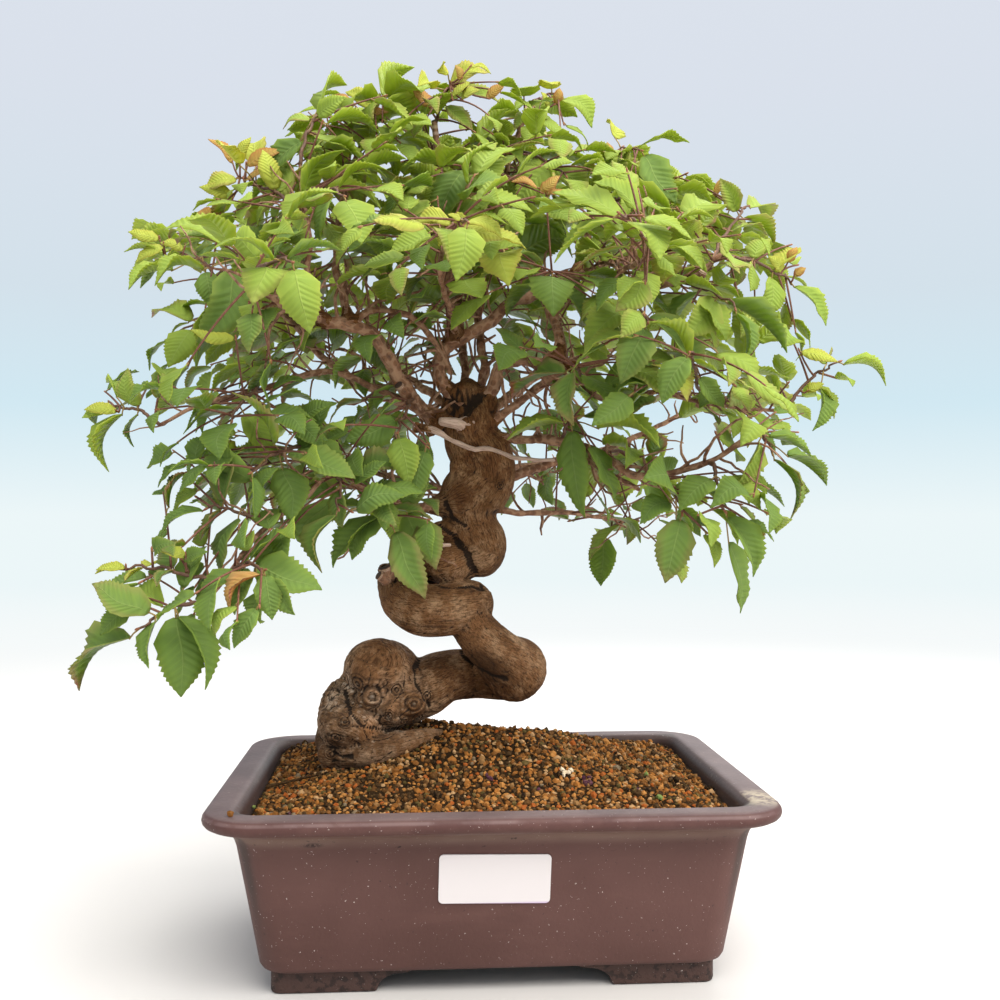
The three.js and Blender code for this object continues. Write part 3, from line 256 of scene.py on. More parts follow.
SHOOTS = [
    # limb, share of it where the shoot starts, place of its end, number and length of its leaves, and the
    # leaves that are seen: root, tip and, where it is known, width
    ["left_hanging", 1, [140, 628, -92], 5, 27,
        [[200, 613, 181, 697], [180, 616, 149, 668], [184, 597, 130, 610], [134, 631, 82, 698],
        [198, 612, 205, 690]]],
    ["left_hanging", 0.86, [118, 569, -74], 5, 22,
        [[193, 545, 151, 562], [185, 562, 156, 590], [147, 564, 126, 581], [114, 569, 95, 574]]],
    ["left_hanging", 0.78, [264, 570, -96], 5, 26,
        [[255, 580, 272, 620], [267, 580, 295, 615], [255, 590, 255, 628], [234, 559, 229, 613],
        [264, 554, 322, 590]]],
    ["left_hanging", 0.5, [208, 508, -66], 5, 28, [[203, 480, 161, 536], [229, 480, 200, 539]]],
    ["left_low", 0.3, [391, 524, -46], 4, 30,
        [[392, 526, 425, 599, 17], [389, 514, 433, 520], [369, 516, 333, 568], [376, 520, 352, 560]]],
    ["left_low", 0.66, [338, 508, -66], 4, 28,
        [[338, 481, 308, 551, 18], [336, 511, 322, 573], [356, 487, 343, 528]]],
    ["left_low", 1, [252, 472, -72], 6, 27,
        [[300, 460, 254, 520], [270, 466, 236, 512], [284, 470, 290, 524]]],
    ["left_level", 1, [112, 408, -14], 6, 23,
        [[129, 412, 100, 388], [111, 412, 82, 418], [124, 418, 109, 472], [158, 421, 147, 459],
        [150, 416, 128, 368]]],
    ["left_level", 0.62, [232, 420, -60], 6, 26, [[262, 402, 223, 441], [250, 410, 262, 458]]],
    ["left_arm", 0.2, [398, 432, -48], 5, 25,
        [[392, 408, 345, 442, 19], [411, 415, 387, 446], [398, 440, 410, 486]]],
    ["left_riser", 0.45, [168, 262, -12], 6, 26,
        [[172, 262, 124, 252], [184, 263, 139, 292], [205, 266, 161, 296], [240, 280, 198, 343, 22],
        [225, 275, 214, 310]]],
    ["left_front", 1, [292, 262, -128], 5, 26, [[262, 272, 281, 322]]],
    ["left_riser", 0.72, [240, 178, -10], 5, 20,
        [[236, 190, 205, 190], [240, 181, 214, 148], [243, 178, 243, 140], [252, 190, 262, 150],
        [262, 200, 258, 226]]],
    ["left_riser", 1, [318, 110, -14], 5, 28,
        [[312, 122, 281, 130, 17], [306, 150, 268, 178], [316, 115, 345, 97], [305, 180, 262, 214]]],
    ["left_riser", 0.85, [344, 196, -74], 5, 28, [[330, 197, 387, 170], [320, 200, 325, 250]]],
    ["left_inner_riser", 1, [384, 98, 4], 5, 26, [[380, 112, 344, 93]]],
    ["left_back", 0.85, [176, 335, 58], 6, 26, [[200, 330, 165, 362]]],
    ["left_back", 1, [170, 232, 84], 7, 26, []],
    ["left_back", 0.6, [258, 222, 70], 5, 26, []],
    ["centre_riser", 1, [450, 84, -4], 6, 20,
        [[448, 92, 412, 95], [452, 86, 454, 68], [450, 84, 489, 72], [440, 104, 500, 103],
        [442, 108, 470, 130]]],
    ["centre_riser", 0.62, [476, 160, -30], 5, 27, [[470, 174, 437, 222, 18]]],
    ["centre_front", 1, [468, 222, -124], 6, 23,
        [[450, 230, 414, 224], [462, 224, 503, 240], [460, 226, 448, 212]]],
    ["second", 1, [560, 96, 30], 6, 23, [[552, 100, 556, 90], [545, 104, 592, 128]]],
    ["second", 0.86, [566, 176, -4], 6, 24, [[556, 172, 590, 212], [548, 168, 516, 206]]],
    ["right_level", 0.05, [552, 272, -38], 4, 30, [[546, 280, 575, 334, 19], [548, 276, 520, 318]]],
    ["right_level", 0.4, [648, 322, -74], 5, 30, [[639, 322, 620, 384, 26], [650, 326, 705, 376]]],
    ["right_level", 0.71, [735, 308, -66], 6, 28,
        [[725, 305, 744, 362, 17], [735, 302, 787, 353], [700, 300, 690, 345]]],
    ["right_level", 1, [790, 282, -12], 6, 22,
        [[784, 286, 826, 326], [790, 282, 798, 246], [770, 278, 764, 318]]],
    ["right_level", 0.92, [748, 206, 22], 6, 25, [[742, 216, 720, 178]]],
    ["right_riser", 1, [640, 150, 20], 6, 27, [[636, 158, 676, 204, 24], [620, 158, 607, 128]]],
    ["right_riser", 0.7, [676, 186, 62], 6, 27, []],
    ["right_front", 1, [620, 214, -126], 5, 27, [[634, 226, 596, 252]]],
    ["right_back", 0.75, [735, 232, 62], 6, 26, []],
    ["right_back", 1, [690, 205, 116], 6, 26, []],
    ["right_drooping", 1, [838, 362, -24], 6, 24,
        [[836, 363, 886, 386], [815, 376, 834, 419], [822, 372, 845, 352], [795, 392, 800, 436]]],
    ["right_drooping", 0.62, [690, 352, -92], 6, 28, [[694, 372, 724, 408], [690, 358, 662, 404]]],
    ["right_drooping", 0.12, [574, 366, -56], 5, 30, [[571, 368, 574, 426, 20], [562, 366, 520, 420]]],
    ["right_low", 0.24, [578, 416, -27], 4, 32,
        [[564, 424, 664, 442, 18], [562, 426, 507, 440], [568, 434, 585, 517, 18]]],
    ["right_low", 0.66, [682, 512, -66], 5, 27,
        [[681, 503, 656, 527], [680, 512, 665, 583], [664, 496, 640, 524]]],
    ["right_low", 0.84, [724, 510, -74], 5, 27, [[720, 503, 753, 577], [712, 508, 724, 598, 15]]],
    ["right_low", 1, [772, 452, -64], 6, 25,
        [[762, 456, 790, 520], [770, 455, 818, 490], [764, 446, 813, 458], [750, 440, 736, 486]]],
    ["right_low_back", 0.55, [655, 470, 66], 5, 26, [[640, 470, 644, 524]]],
    ["right_low_back", 1, [778, 402, 84], 6, 26, []],
    ["right_lowest", 1, [606, 532, 84], 5, 25, [[605, 526, 601, 586]]],
    # shoots of the far side
    ["back_left", 1, [262, 352, 118], 7, 26, []],
    ["back_left", 0.72, [392, 292, 122], 7, 26, []],
    ["back_right", 0.72, [548, 292, 122], 7, 26, []],
    ["back_right", 1, [702, 352, 118], 7, 26, []],
    ["back_top", 1, [505, 196, 120], 7, 26, []],
    ["back_top", 0.6, [396, 212, 112], 7, 26, []],
    ["second", 0.7, [478, 148, 84], 5, 26, []],
    ["back_low_left", 1, [248, 470, 112], 7, 26, []],
    ["back_low_left", 0.7, [345, 424, 118], 5, 26, []],
    ["back_low", 1, [640, 470, 124], 6, 26, []],
]


# Shaping
def tube(bm, stations, sides):
    """A round bar through stations of (place, radius). Returns its rings of vertices."""
    places = [place for place, _ in stations]
    ahead = [(places[min(i + 1, len(places) - 1)] - places[max(i - 1, 0)]).normalized()
             for i in range(len(places))]
    turn = UP.rotation_difference(ahead[0])
    matrices = []
    for i, (place, radius) in enumerate(stations):
        if i:
            turn = ahead[i - 1].rotation_difference(ahead[i]) @ turn
        matrices.append(Matrix.LocRotScale(place, turn, Vector((radius,) * 3)))
    ring = bmesh.ops.create_circle(bm, segments=sides, radius=1, matrix=matrices[0])["verts"]
    edges = list({e for v in ring for e in v.link_edges})
    rings = [ring]
    for last, matrix in zip(matrices, matrices[1:]):
        made = bmesh.ops.extrude_edge_only(bm, edges=edges)["geom"]
        ring = [part for part in made if isinstance(part, bmesh.types.BMVert)]
        edges = [part for part in made if isinstance(part, bmesh.types.BMEdge) and part.is_boundary]
        bmesh.ops.transform(bm, matrix=matrix @ last.inverted(), verts=ring)
        rings.append(ring)
    first = [e for e in {e for v in rings[0] for e in v.link_edges} if e.is_boundary]
    bmesh.ops.contextual_create(bm, geom=first)
    bmesh.ops.contextual_create(bm, geom=edges)
    return rings


def taken_in(bm, part):
    """Adds a small mesh to a larger one, which is quicker than shaping it there."""
    mesh = bpy.data.meshes.new("part")
    part.to_mesh(mesh)
    part.free()
    bm.from_mesh(mesh)
    bpy.data.meshes.remove(mesh)


def ball(bm, place, radii, fineness=3):
    matrix = Matrix.LocRotScale(place, None, Vector(radii))
    return bmesh.ops.create_icosphere(bm, subdivisions=fineness, radius=1, matrix=matrix)["verts"]


def turned_out(bm):
    bmesh.ops.recalc_face_normals(bm, faces=bm.faces)


def placed(name, data):
    """A new object in the scene."""
    piece = bpy.data.objects.new(name, data)
    bpy.context.scene.collection.objects.link(piece)
    return piece


def finished(name, bm, finishes, slot, *nodes, smooth=True):
    """The piece made of a mesh in millimetres, riding on the one body that there is."""
    mesh = bpy.data.meshes.new(name)
    bm.to_mesh(mesh)
    bm.free()
    mesh.transform(Matrix.Scale(MM, 4))
    for finish in finishes:
        mesh.materials.append(finish)
    if smooth:
        mesh.shade_smooth()
    else:
        mesh.shade_flat()
    piece = placed(name, mesh)
    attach(piece, "root")
    if nodes:
        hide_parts(*nodes)
    return piece


def fused(bm, grain):
    """One skin round all the closed bodies of a mesh, with faces about as wide as the grain."""
    mesh = bpy.data.meshes.new("rough")
    bm.to_mesh(mesh)
    bm.free()
    rough = placed("rough", mesh)
    remesh = rough.modifiers.new("skin", "REMESH")
    remesh.mode = "VOXEL"
    remesh.voxel_size = grain
    skin = bmesh.new()
    skin.from_object(rough, bpy.context.evaluated_depsgraph_get())
    bpy.data.objects.remove(rough)
    bpy.data.meshes.remove(mesh)
    return skin


# Finishes: a material's nodes, written as sums
class Flow:
    """A value or colour on its way through a finish. Arithmetic on a value adds Math nodes."""

    def __init__(self, finish, socket):
        self.finish = finish
        self.socket = socket

    def math(self, operation, *others):
        inputs = dict(enumerate((self, *others)))
        return self.finish.node("ShaderNodeMath", {"operation": operation}, inputs)

    def __add__(self, other):
        return self.math("ADD", other)

    __radd__ = __add__

    def __mul__(self, other):
        return self.math("MULTIPLY", other)

    def __sub__(self, other):
        return self.math("SUBTRACT", other)

    def __rsub__(self, other):
        return self.finish.node("ShaderNodeMath", {"operation": "SUBTRACT"}, {0: other, 1: self})

    def __truediv__(self, other):
        return self.math("DIVIDE", other)

    def __abs__(self):
        return self.math("ABSOLUTE")

    def rise(self, low, high, least=0.0, most=1.0):
        """A soft step from least to most, as the value goes from low to high."""
        inputs = {"Value": self, "From Min": low, "From Max": high, "To Min": least, "To Max": most}
        return self.finish.node("ShaderNodeMapRange", {"interpolation_type": "SMOOTHSTEP"}, inputs)


class Finish:
    """The nodes of a material, or of the air round the scene."""

    def __init__(self, name, owner=None):
        self.owner = owner or bpy.data.materials.new(name)
        self.owner.use_nodes = True
        self.tree = self.owner.node_tree
        self.tree.nodes.clear()

    def node(self, kind, settings=None, inputs=None, output=0):
        """A new node. An input is a number, a colour or the flow that is linked to it."""
        made = self.tree.nodes.new(kind)
        for key, value in (settings or {}).items():
            if key == "stops":
                self.set_stops(made.color_ramp, value)
            else:
                setattr(made, key, value)
        for key, value in (inputs or {}).items():
            if isinstance(value, Flow):
                self.tree.links.new(value.socket, made.inputs[key])
            else:
                made.inputs[key].default_value = value
        return Flow(self, made.outputs[output]) if made.outputs else None

    @staticmethod
    def set_stops(ramp, stops):
        while len(ramp.elements) < len(stops):
            ramp.elements.new(1)
        for element, (place, colour) in zip(ramp.elements, stops):
            element.position = place
            element.color = (*colour, 1)

    def object_place(self):
        return self.node("ShaderNodeTexCoord", output="Object")

    def attribute(self, name, output="Fac"):
        return self.node("ShaderNodeAttribute", {"attribute_name": name}, output=output)

    def scaled(self, vector, scale):
        return self.node("ShaderNodeVectorMath", {"operation": "MULTIPLY"}, {0: vector, 1: scale})

    def grain(self, vector, scale, detail=3.0, roughness=0.55):
        inputs = {"Vector": vector, "Scale": scale, "Detail": detail, "Roughness": roughness}
        return self.node("ShaderNodeTexNoise", {}, inputs)

    def cells(self, vector, scale):
        return self.node("ShaderNodeTexVoronoi", {}, {"Vector": vector, "Scale": scale}, "Distance")

    def blend(self, share, one, other, how="MIX"):
        settings = {"data_type": "RGBA", "blend_type": how, "clamp_factor": True}
        colours = [(*c, 1) if isinstance(c, tuple) and len(c) == 3 else c for c in (one, other)]
        return self.node("ShaderNodeMix", settings, {0: share, 6: colours[0], 7: colours[1]}, 2)

    def ramp(self, value, stops, interpolation="LINEAR"):
        made = self.node("ShaderNodeValToRGB", {"stops": stops}, {"Fac": value})
        made.socket.node.color_ramp.interpolation = interpolation
        return made

    def parts(self, vector):
        split = self.node("ShaderNodeSeparateXYZ", {}, {0: vector}).socket.node
        return [Flow(self, output) for output in split.outputs]

    def raised(self, height, strength, distance):
        inputs = {"Height": height, "Strength": strength, "Distance": distance}
        return self.node("ShaderNodeBump", {}, inputs)

    def near(self, place, at, inner, outer, stretch=(1, 1, 1)):
        """1 near a place of the view and 0 away from it, with both distances in metres."""
        middle = {0: place, 1: tuple(seen(*at) * MM)}
        shift = self.node("ShaderNodeVectorMath", {"operation": "SUBTRACT"}, middle)
        reach = {0: self.scaled(shift, stretch)}
        away = self.node("ShaderNodeVectorMath", {"operation": "LENGTH"}, reach, "Value")
        return 1 - away.rise(inner, outer)

    def surface(self, colour, roughness, normal=None, **constants):
        inputs = {"Base Color": colour, "Roughness": roughness}
        inputs.update({key.replace("_", " "): value for key, value in constants.items()})
        if normal is not None:
            inputs["Normal"] = normal
        return self.node("ShaderNodeBsdfPrincipled", {}, inputs)

    def done(self, shader):
        self.node("ShaderNodeOutputMaterial", {}, {"Surface": shader})
        return self.owner


# Pot: one fired clay body on four corner feet
CORNER_SEGMENTS = 12
CORNER_SHARE = 0.4
OUTER_RINGS = [
    # half width, half depth, corner radius, height
    [93.5, 66.5, 10, 9], [95.2, 68.2, 11, 9.4], [96.9, 69.9, 12, 10.3], [98, 71, 13, 12],
    [102.4, 75.4, 14, 38], [106.6, 79.6, 15, 62], [107.5, 80.4, 15.5, 64.8], [108.6, 81.4, 16.5, 66.7],
    [110.2, 82.9, 18, 68.1], [112.4, 85.0, 20, 69.2], [114.6, 87.1, 21.5, 70.0],
]
INNER_RINGS = [[103.2, 75.7, 9, 68.6], [98.6, 71.1, 9, 44], [95.2, 67.7, 8, 23], [93.6, 66.1, 7, 19],
               [91, 63.5, 6, 18]]
BULLNOSE = {"middle": (116.5, 89, 22.6, 74), "radius": 3.5, "turn": (-90, 90)}
INNER_LIP = {"middle": (109.6, 82.1, 13, 72), "radius": 5.5, "turn": (90, 180)}
ARC_STEPS = 8
POT_FLOOR = 18
DRAIN = {"radius": 11, "sides": 40, "reach": 20, "middle": POT_FLOOR - 4}
FOOT_THICKNESS = 13
FOOT_TOP = 10.5
FOOT_CORNER = (93, 66)
FOOT_EDGE = 1.2
FOOT_ROUND = 5
FOOT_BARS = [
    # block, lip, turn about the corner, start: no face of one bar lies in a face of the other
    (43, 15, 0, (0, 0, 0)),
    (24.5, 13, 90, (FOOT_THICKNESS + 0.15, 5.5, 0.05)),
]
OGEE = [(0, 0), (0.9, 0.6), (1.5, 2.2), (2.4, 3.9), (4, 5.2), (5.8, 6.1), (7.5, 6.8)]
LIP_HEIGHT = 7.6


def ring_of(bm, half_width, half_depth, corner, height, segments=CORNER_SEGMENTS):
    """The edges of a rounded rectangle, level at a height."""
    turn = Matrix.Rotation(math.pi / (4 * segments), 4, "Z")
    circle = bmesh.ops.create_circle(bm, segments=4 * segments, radius=corner, matrix=turn)["verts"]
    for v in circle:
        v.co.x += math.copysign(half_width - corner, v.co.x)
        v.co.y += math.copysign(half_depth - corner, v.co.y)
        v.co.z = height
    return list({e for v in circle for e in v.link_edges})


def arc_rings(middle, radius, turn):
    """Rings of the pot's section round an arc."""
    half_width, half_depth, corner, height = middle
    rings = []
    for step in range(ARC_STEPS + 1):
        angle = math.radians(turn[0] + (turn[1] - turn[0]) * step / ARC_STEPS)
        out = radius * math.cos(angle)
        rings.append([half_width + out, half_depth + out, corner + out * CORNER_SHARE,
                      height + radius * math.sin(angle)])
    return rings


def skinned(bm, rings):
    """Joins rings of edges with faces, and closes the first and the last."""
    for low, high in zip(rings, rings[1:]):
        bmesh.ops.bridge_loops(bm, edges=low + high)
    bmesh.ops.contextual_create(bm, geom=rings[0])
    bmesh.ops.contextual_create(bm, geom=rings[-1])
    turned_out(bm)


def rounded(bm, edges, offset, segments):
    bmesh.ops.bevel(bm, geom=edges, offset=offset, segments=segments, affect="EDGES", profile=0.5,
                    material=-1)


def foot_bar(block, lip):
    """A bar along +X that ends in an ogee and a thin lip, under the pot's floor."""
    bm = bmesh.new()
    outline = [(0, 0), *((block + x, z) for x, z in OGEE), (block + lip, LIP_HEIGHT),
               (block + lip, FOOT_TOP), (0, FOOT_TOP)]
    face = bm.faces.new([bm.verts.new((x, 0, z)) for x, z in outline])
    pulled = bmesh.ops.extrude_face_region(bm, geom=[face])["geom"]
    moved = [part for part in pulled if isinstance(part, bmesh.types.BMVert)]
    bmesh.ops.translate(bm, verts=moved, vec=(0, FOOT_THICKNESS, 0))
    turned_out(bm)
    corner = [e for e in bm.edges if all(v.co.x < 0.01 and v.co.y < 0.01 for v in e.verts)]
    rounded(bm, corner, FOOT_ROUND, 6)
    sharp = [e for e in bm.edges if e.calc_face_angle(0) > math.radians(50)]
    rounded(bm, sharp, FOOT_EDGE, 2)
    return bm


def combined(base, others, operation):
    """A body joined with or cut by others, by exact Booleans."""
    made = []
    for bm in (base, *others):
        mesh = bpy.data.meshes.new("solid")
        bm.to_mesh(mesh)
        bm.free()
        made.append(placed("solid", mesh))
    for other in made[1:]:
        step = made[0].modifiers.new("step", "BOOLEAN")
        step.operation = operation
        step.object = other
        step.solver = "EXACT"
    result = bmesh.new()
    result.from_object(made[0], bpy.context.evaluated_depsgraph_get())
    for piece in made:
        mesh = piece.data
        bpy.data.objects.remove(piece)
        bpy.data.meshes.remove(mesh)
    return result


def feet():
    made = []
    for side_x in (1, -1):
        for side_y in (1, -1):
            for block, lip, turn, start in FOOT_BARS:
                foot = foot_bar(block, lip)
                place = (Matrix.Translation((side_x * FOOT_CORNER[0], side_y * FOOT_CORNER[1], 0))
                         @ Matrix.Diagonal((-side_x, -side_y, 1, 1)) @ Matrix.Translation(start)
                         @ Matrix.Rotation(math.radians(turn), 4, "Z"))
                bmesh.ops.transform(foot, matrix=place, verts=foot.verts)
                turned_out(foot)
                made.append(foot)
    return made


def drain(side):
    bm = bmesh.new()
    bmesh.ops.create_cone(bm, cap_ends=True, segments=DRAIN["sides"], radius1=DRAIN["radius"],
                          radius2=DRAIN["radius"], depth=DRAIN["reach"],
                          matrix=Matrix.Translation((side * DRAIN_SPREAD, 0, DRAIN["middle"])))
    return bm


def pot():
    bm = bmesh.new()
    sections = [*OUTER_RINGS, *arc_rings(**BULLNOSE), *arc_rings(**INNER_LIP), *INNER_RINGS]
    skinned(bm, [ring_of(bm, *section) for section in sections])
    bm = combined(bm, feet(), "UNION")
    bm = combined(bm, [drain(side) for side in (1, -1)], "DIFFERENCE")
    bmesh.ops.remove_doubles(bm, verts=bm.verts, dist=0.01)
    piece = finished("clay_pot", bm, [clay_finish()], "clay", "pot")
    piece.data.set_sharp_from_angle(angle=math.radians(40))
    return piece


# The clay's finish: heights and widths in metres, and places of the view
WALL_LEAN = 0.18
LIME_CORNER = (757, 797, -66)
DARK_MARK = (312, 846, -81)


def clay_finish():
    clay = Finish("clay")
    place = clay.object_place()
    x, y, z = clay.parts(place)
    cloud = clay.grain(place, 14, 4)
    speckle = clay.grain(place, 1100, 2)
    smear = clay.grain(clay.scaled(place, (18, 18, 60)), 1, 4, 0.6)
    body = clay.blend(cloud.rise(0.35, 0.7), (0.084, 0.036, 0.029), (0.104, 0.047, 0.039))
    body = clay.blend(smear.rise(0.5, 0.8) * 0.35, body, (0.145, 0.068, 0.056))
    top = z.rise(0.0690, 0.0725)
    rim_wear = clay.grain(place, 40, 5, 0.65)
    rim = clay.blend(rim_wear.rise(0.4, 0.72), (0.078, 0.031, 0.026), (0.106, 0.047, 0.039))
    body = clay.blend(top, body, rim)
    flat = z.rise(0.0764, 0.0772)
    # Lighter lilac-grey on the rim's flat top: partly worn clay and partly painted sheen.
    top_wear_and_sheen = clay.blend(rim_wear.rise(0.3, 0.7), (0.115, 0.078, 0.076), (0.165, 0.115, 0.110))
    body = clay.blend(flat * 0.8, body, top_wear_and_sheen)
    # Painted highlight: a thin lighter line along the ridge where the rim's top turns into its front.
    edge = abs(z - 0.0757).rise(0.0002, 0.0010, 1.0, 0.0) * clay.grain(place, 60, 4).rise(0.35, 0.6)
    body = clay.blend(edge * 0.4, body, (0.24, 0.16, 0.15))
    dust = abs(z - 0.0675).rise(0.0008, 0.0050, 1.0, 0.0) * smear.rise(0.25, 0.6, 0.4, 1.0)
    body = clay.blend(dust * 0.38, body, (0.235, 0.165, 0.125))
    # Painted shade: the pot's inner faces, above the floor, are darkened.
    lean = z * WALL_LEAN
    past_wall = (abs(x) - lean).rise(0.0912, 0.0950) + (abs(y) - lean).rise(0.0642, 0.0680)
    inside = (1 - past_wall.rise(0.0, 0.9)) * z.rise(0.02, 0.05)
    body = clay.blend(inside * 0.7, body, (0.040, 0.026, 0.022))
    feet = 1 - z.rise(0.0088, 0.0104)
    pits = clay.grain(place, 500, 3, 0.6)
    foot_pits = clay.grain(place, 330, 3, 0.6)
    body = clay.blend(feet * 0.75, body, (0.046, 0.025, 0.019))
    body = clay.blend(feet * foot_pits.rise(0.40, 0.52, 0.8, 0.0), body, (0.018, 0.010, 0.008))
    lime = clay.near(place, LIME_CORNER, 0.003, 0.015, (1, 0.8, 1)) * flat
    lime *= clay.grain(place, 300, 5, 0.7).rise(0.38, 0.55)
    body = clay.blend(lime * 0.8, body, (0.46, 0.38, 0.26))
    grime = clay.grain(clay.scaled(place, (240, 240, 420)), 1, 4, 0.6).rise(0.66, 0.72)
    grime *= z.rise(0.052, 0.060) * (1 - z.rise(0.066, 0.069))
    body = clay.blend(grime * 0.85, body, (0.022, 0.012, 0.010))
    mark = clay.near(place, DARK_MARK, 0.0005, 0.0035, (0.6, 1, 2.2)) * pits.rise(0.4, 0.5)
    body = clay.blend(mark * 0.85, body, (0.020, 0.010, 0.009))
    chips = clay.grain(clay.scaled(place, (60, 60, 500)), 1, 5, 0.7).rise(0.6, 0.75)
    chips *= z.rise(0.0690, 0.0698) * (1 - z.rise(0.0702, 0.0712))
    body = clay.blend(chips * 0.5, body, (0.36, 0.28, 0.24))
    body = clay.blend(speckle.rise(0.715, 0.74) * 0.85, body, (0.52, 0.44, 0.40))
    body = clay.blend((1 - pits.rise(0.24, 0.32)) * 0.7, body, (0.03, 0.02, 0.02))
    height = pits * 0.7 + cloud * 0.8 + feet * foot_pits * 3
    normal = clay.raised(height, 0.4, 0.0006)
    roughness = 0.52 + cloud * 0.16 - top * 0.06
    return clay.done(clay.surface(body, roughness, normal, Specular_IOR_Level=0.3))


# Label: a blank slip on the sloping front wall
LABEL_CORNER_SEGMENTS = 5


def label():
    bm = bmesh.new()
    bevel = LABEL["bevel"]
    half_width = LABEL["width"] / 2
    half_height = LABEL["height"] / 2
    sections = [(0, 0), (0, LABEL["thickness"] - bevel), (bevel, LABEL["thickness"])]
    skinned(bm, [ring_of(bm, half_width - inset, half_height - inset, LABEL["corner"] - inset, height,
                         LABEL_CORNER_SEGMENTS) for inset, height in sections])
    low, high = OUTER_RINGS[3], OUTER_RINGS[5]
    slope = math.atan2(high[1] - low[1], high[3] - low[3])
    wall = low[1] + (LABEL["z"] - low[3]) * math.tan(slope)
    place = (Matrix.Translation((LABEL["x"], -wall - LABEL["gap"], LABEL["z"]))
             @ Matrix.Rotation(math.pi / 2 + slope, 4, "X") @ Matrix.Rotation(LABEL["tilt"], 4, "Z"))
    bmesh.ops.transform(bm, matrix=place, verts=bm.verts)
    return finished("blank_label", bm, [paper_finish()], "paper", "label", smooth=False)


def paper_finish():
    paper = Finish("paper")
    place = paper.object_place()
    z = paper.parts(place)[2]
    bottom = (LABEL["z"] - LABEL["height"] / 2) * MM
    tint = 1 - z.rise(bottom, bottom + 0.0009)
    colour = paper.blend(paper.grain(place, 120, 3) * 0.06, (0.70, 0.645, 0.635), (0.64, 0.59, 0.585))
    colour = paper.blend(tint * 0.5, colour, (0.42, 0.2, 0.5))
    return paper.done(paper.surface(colour, 0.42 + paper.grain(place, 500) * 0.1))


# Drainage screens: square plastic mesh over the drain holes
def screens():
    finish = screen_finish()
    cells = round(SCREEN["width"] / SCREEN["cell"])
    height = POT_FLOOR + SCREEN["lift"] + SCREEN["thickness"] / 2
    for name, side in (("left", -1), ("right", 1)):
        bm = bmesh.new()
        bmesh.ops.create_grid(bm, x_segments=cells, y_segments=cells, size=SCREEN["width"] / 2,
                              matrix=Matrix.Translation((side * DRAIN_SPREAD, 0, height)))
        bmesh.ops.wireframe(bm, faces=bm.faces, thickness=SCREEN["wire"], use_boundary=True,
                            use_replace=True, use_even_offset=True)
        turned_out(bm)
        finished(f"mesh_{name}", bm, [finish], "screen", f"drainage_screen_{name}")


def screen_finish():
    plastic = Finish("screen_plastic")
    place = plastic.object_place()
    colour = plastic.blend(plastic.grain(place, 300), (0.012, 0.014, 0.016), (0.03, 0.033, 0.035))
    return plastic.done(plastic.surface(colour, 0.45 + plastic.grain(place, 90) * 0.15))


# Soil: a bed with thousands of loose grains on it
GRAIN = {"batch": 60, "pace": 2.1, "radius": (0.9, 1.6), "large": (1.7, 2.4), "large_share": 0.06,
         "stretch": (0.62, 1.1), "rough": 0.22, "tilt": 0.6, "shades": (0.03, 0.975)}
SOIL_EDGE_ROOM = 0.7
SOIL_LOWEST = RIM_TOP - 20
SOIL_LAYERS = [
    # use of its draws, lift, how many places apart its grains are
    (0, -0.35, 1),
    (500, 0.45, 2),
]
SPECIAL_LIFT = 1.1
GRIT_TONES = [
    # the shade that each tone starts from: purple, black, grey, browns, oranges, tans, olive, cream, green
    (0.0, (0.085, 0.030, 0.050)), (0.03, (0.012, 0.007, 0.004)), (0.09, (0.042, 0.022, 0.009)),
    (0.22, (0.090, 0.038, 0.011)), (0.35, (0.175, 0.066, 0.015)), (0.50, (0.310, 0.116, 0.024)),
    (0.60, (0.400, 0.172, 0.044)), (0.70, (0.310, 0.078, 0.015)), (0.76, (0.240, 0.122, 0.044)),
    (0.85, (0.085, 0.060, 0.019)), (0.91, (0.430, 0.250, 0.115)), (0.965, (0.190, 0.140, 0.085)),
    (0.98, (0.70, 0.57, 0.40)), (0.99, (0.15, 0.22, 0.06)),
]
CREAM = 0.985
PURPLE = 0.01
BLACK = 0.05
GREEN = 0.995
SPECIAL_GRAINS = [
    # the view's x and y, how far round it in millimetres, shade, number, size
    [567, 774, 2.4, CREAM, 7, 0.85], [584, 783, 3.4, PURPLE, 7, 1.0], [486, 779, 2.4, PURPLE, 3, 1.0],
    [647, 777, 0.4, GREEN, 1, 0.9], [660, 799, 0.4, GREEN, 1, 1.0], [254, 810, 0.8, GREEN, 1, 1.1],
    [674, 783, 2.2, BLACK, 6, 1.3], [708, 790, 2.8, BLACK, 7, 1.2], [636, 738, 2.0, BLACK, 4, 1.4],
    [603, 738, 3, GREEN, 1, 0.7], [340, 765, 2.4, BLACK, 5, 1.2],
]
RIM_GRAIN = {"x": 230, "y": 814, "radius": 1.5, "shade": 0.38}
FALLEN_TWIG = {"points": [(266, 791), (280, 788), (300, 783), (324, 778)], "radius": 0.8, "lift": 1.9,
               "shade": 0.11}


def node_tree_of(name):
    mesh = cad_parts[name].data
    return BVHTree.FromPolygons([v.co / MM for v in mesh.vertices], [p.vertices[:] for p in mesh.polygons])


def seen_on(surface, x, y):
    """The place of a surface that is seen at a point of the view."""
    return surface.ray_cast(VIEW_EYE, (seen(x, y, 0) - VIEW_EYE).normalized())[0]


def strewn_grains():
    """x, y, lift, shade and keys of the grains that lie all over the bed."""
    half_x = SOIL_HALF[0] - SOIL_EDGE_ROOM
    half_y = SOIL_HALF[1] - SOIL_EDGE_ROOM
    columns = int(half_x / GRAIN["pace"])
    rows = int(half_y / GRAIN["pace"])
    for layer, lift, step in SOIL_LAYERS:
        for i in range(-columns, columns + 1, step):
            for j in range(-rows, rows + 1, step):
                x = (i + within(0.5, 700 + layer, i, j) + 0.5 * (j % 2)) * GRAIN["pace"]
                y = (j + within(0.5, 701 + layer, i, j)) * GRAIN["pace"]
                if abs(x) < half_x and abs(y) < half_y:
                    yield x, y, lift, between(GRAIN["shades"], 702 + layer, i, j), (layer, i, j)


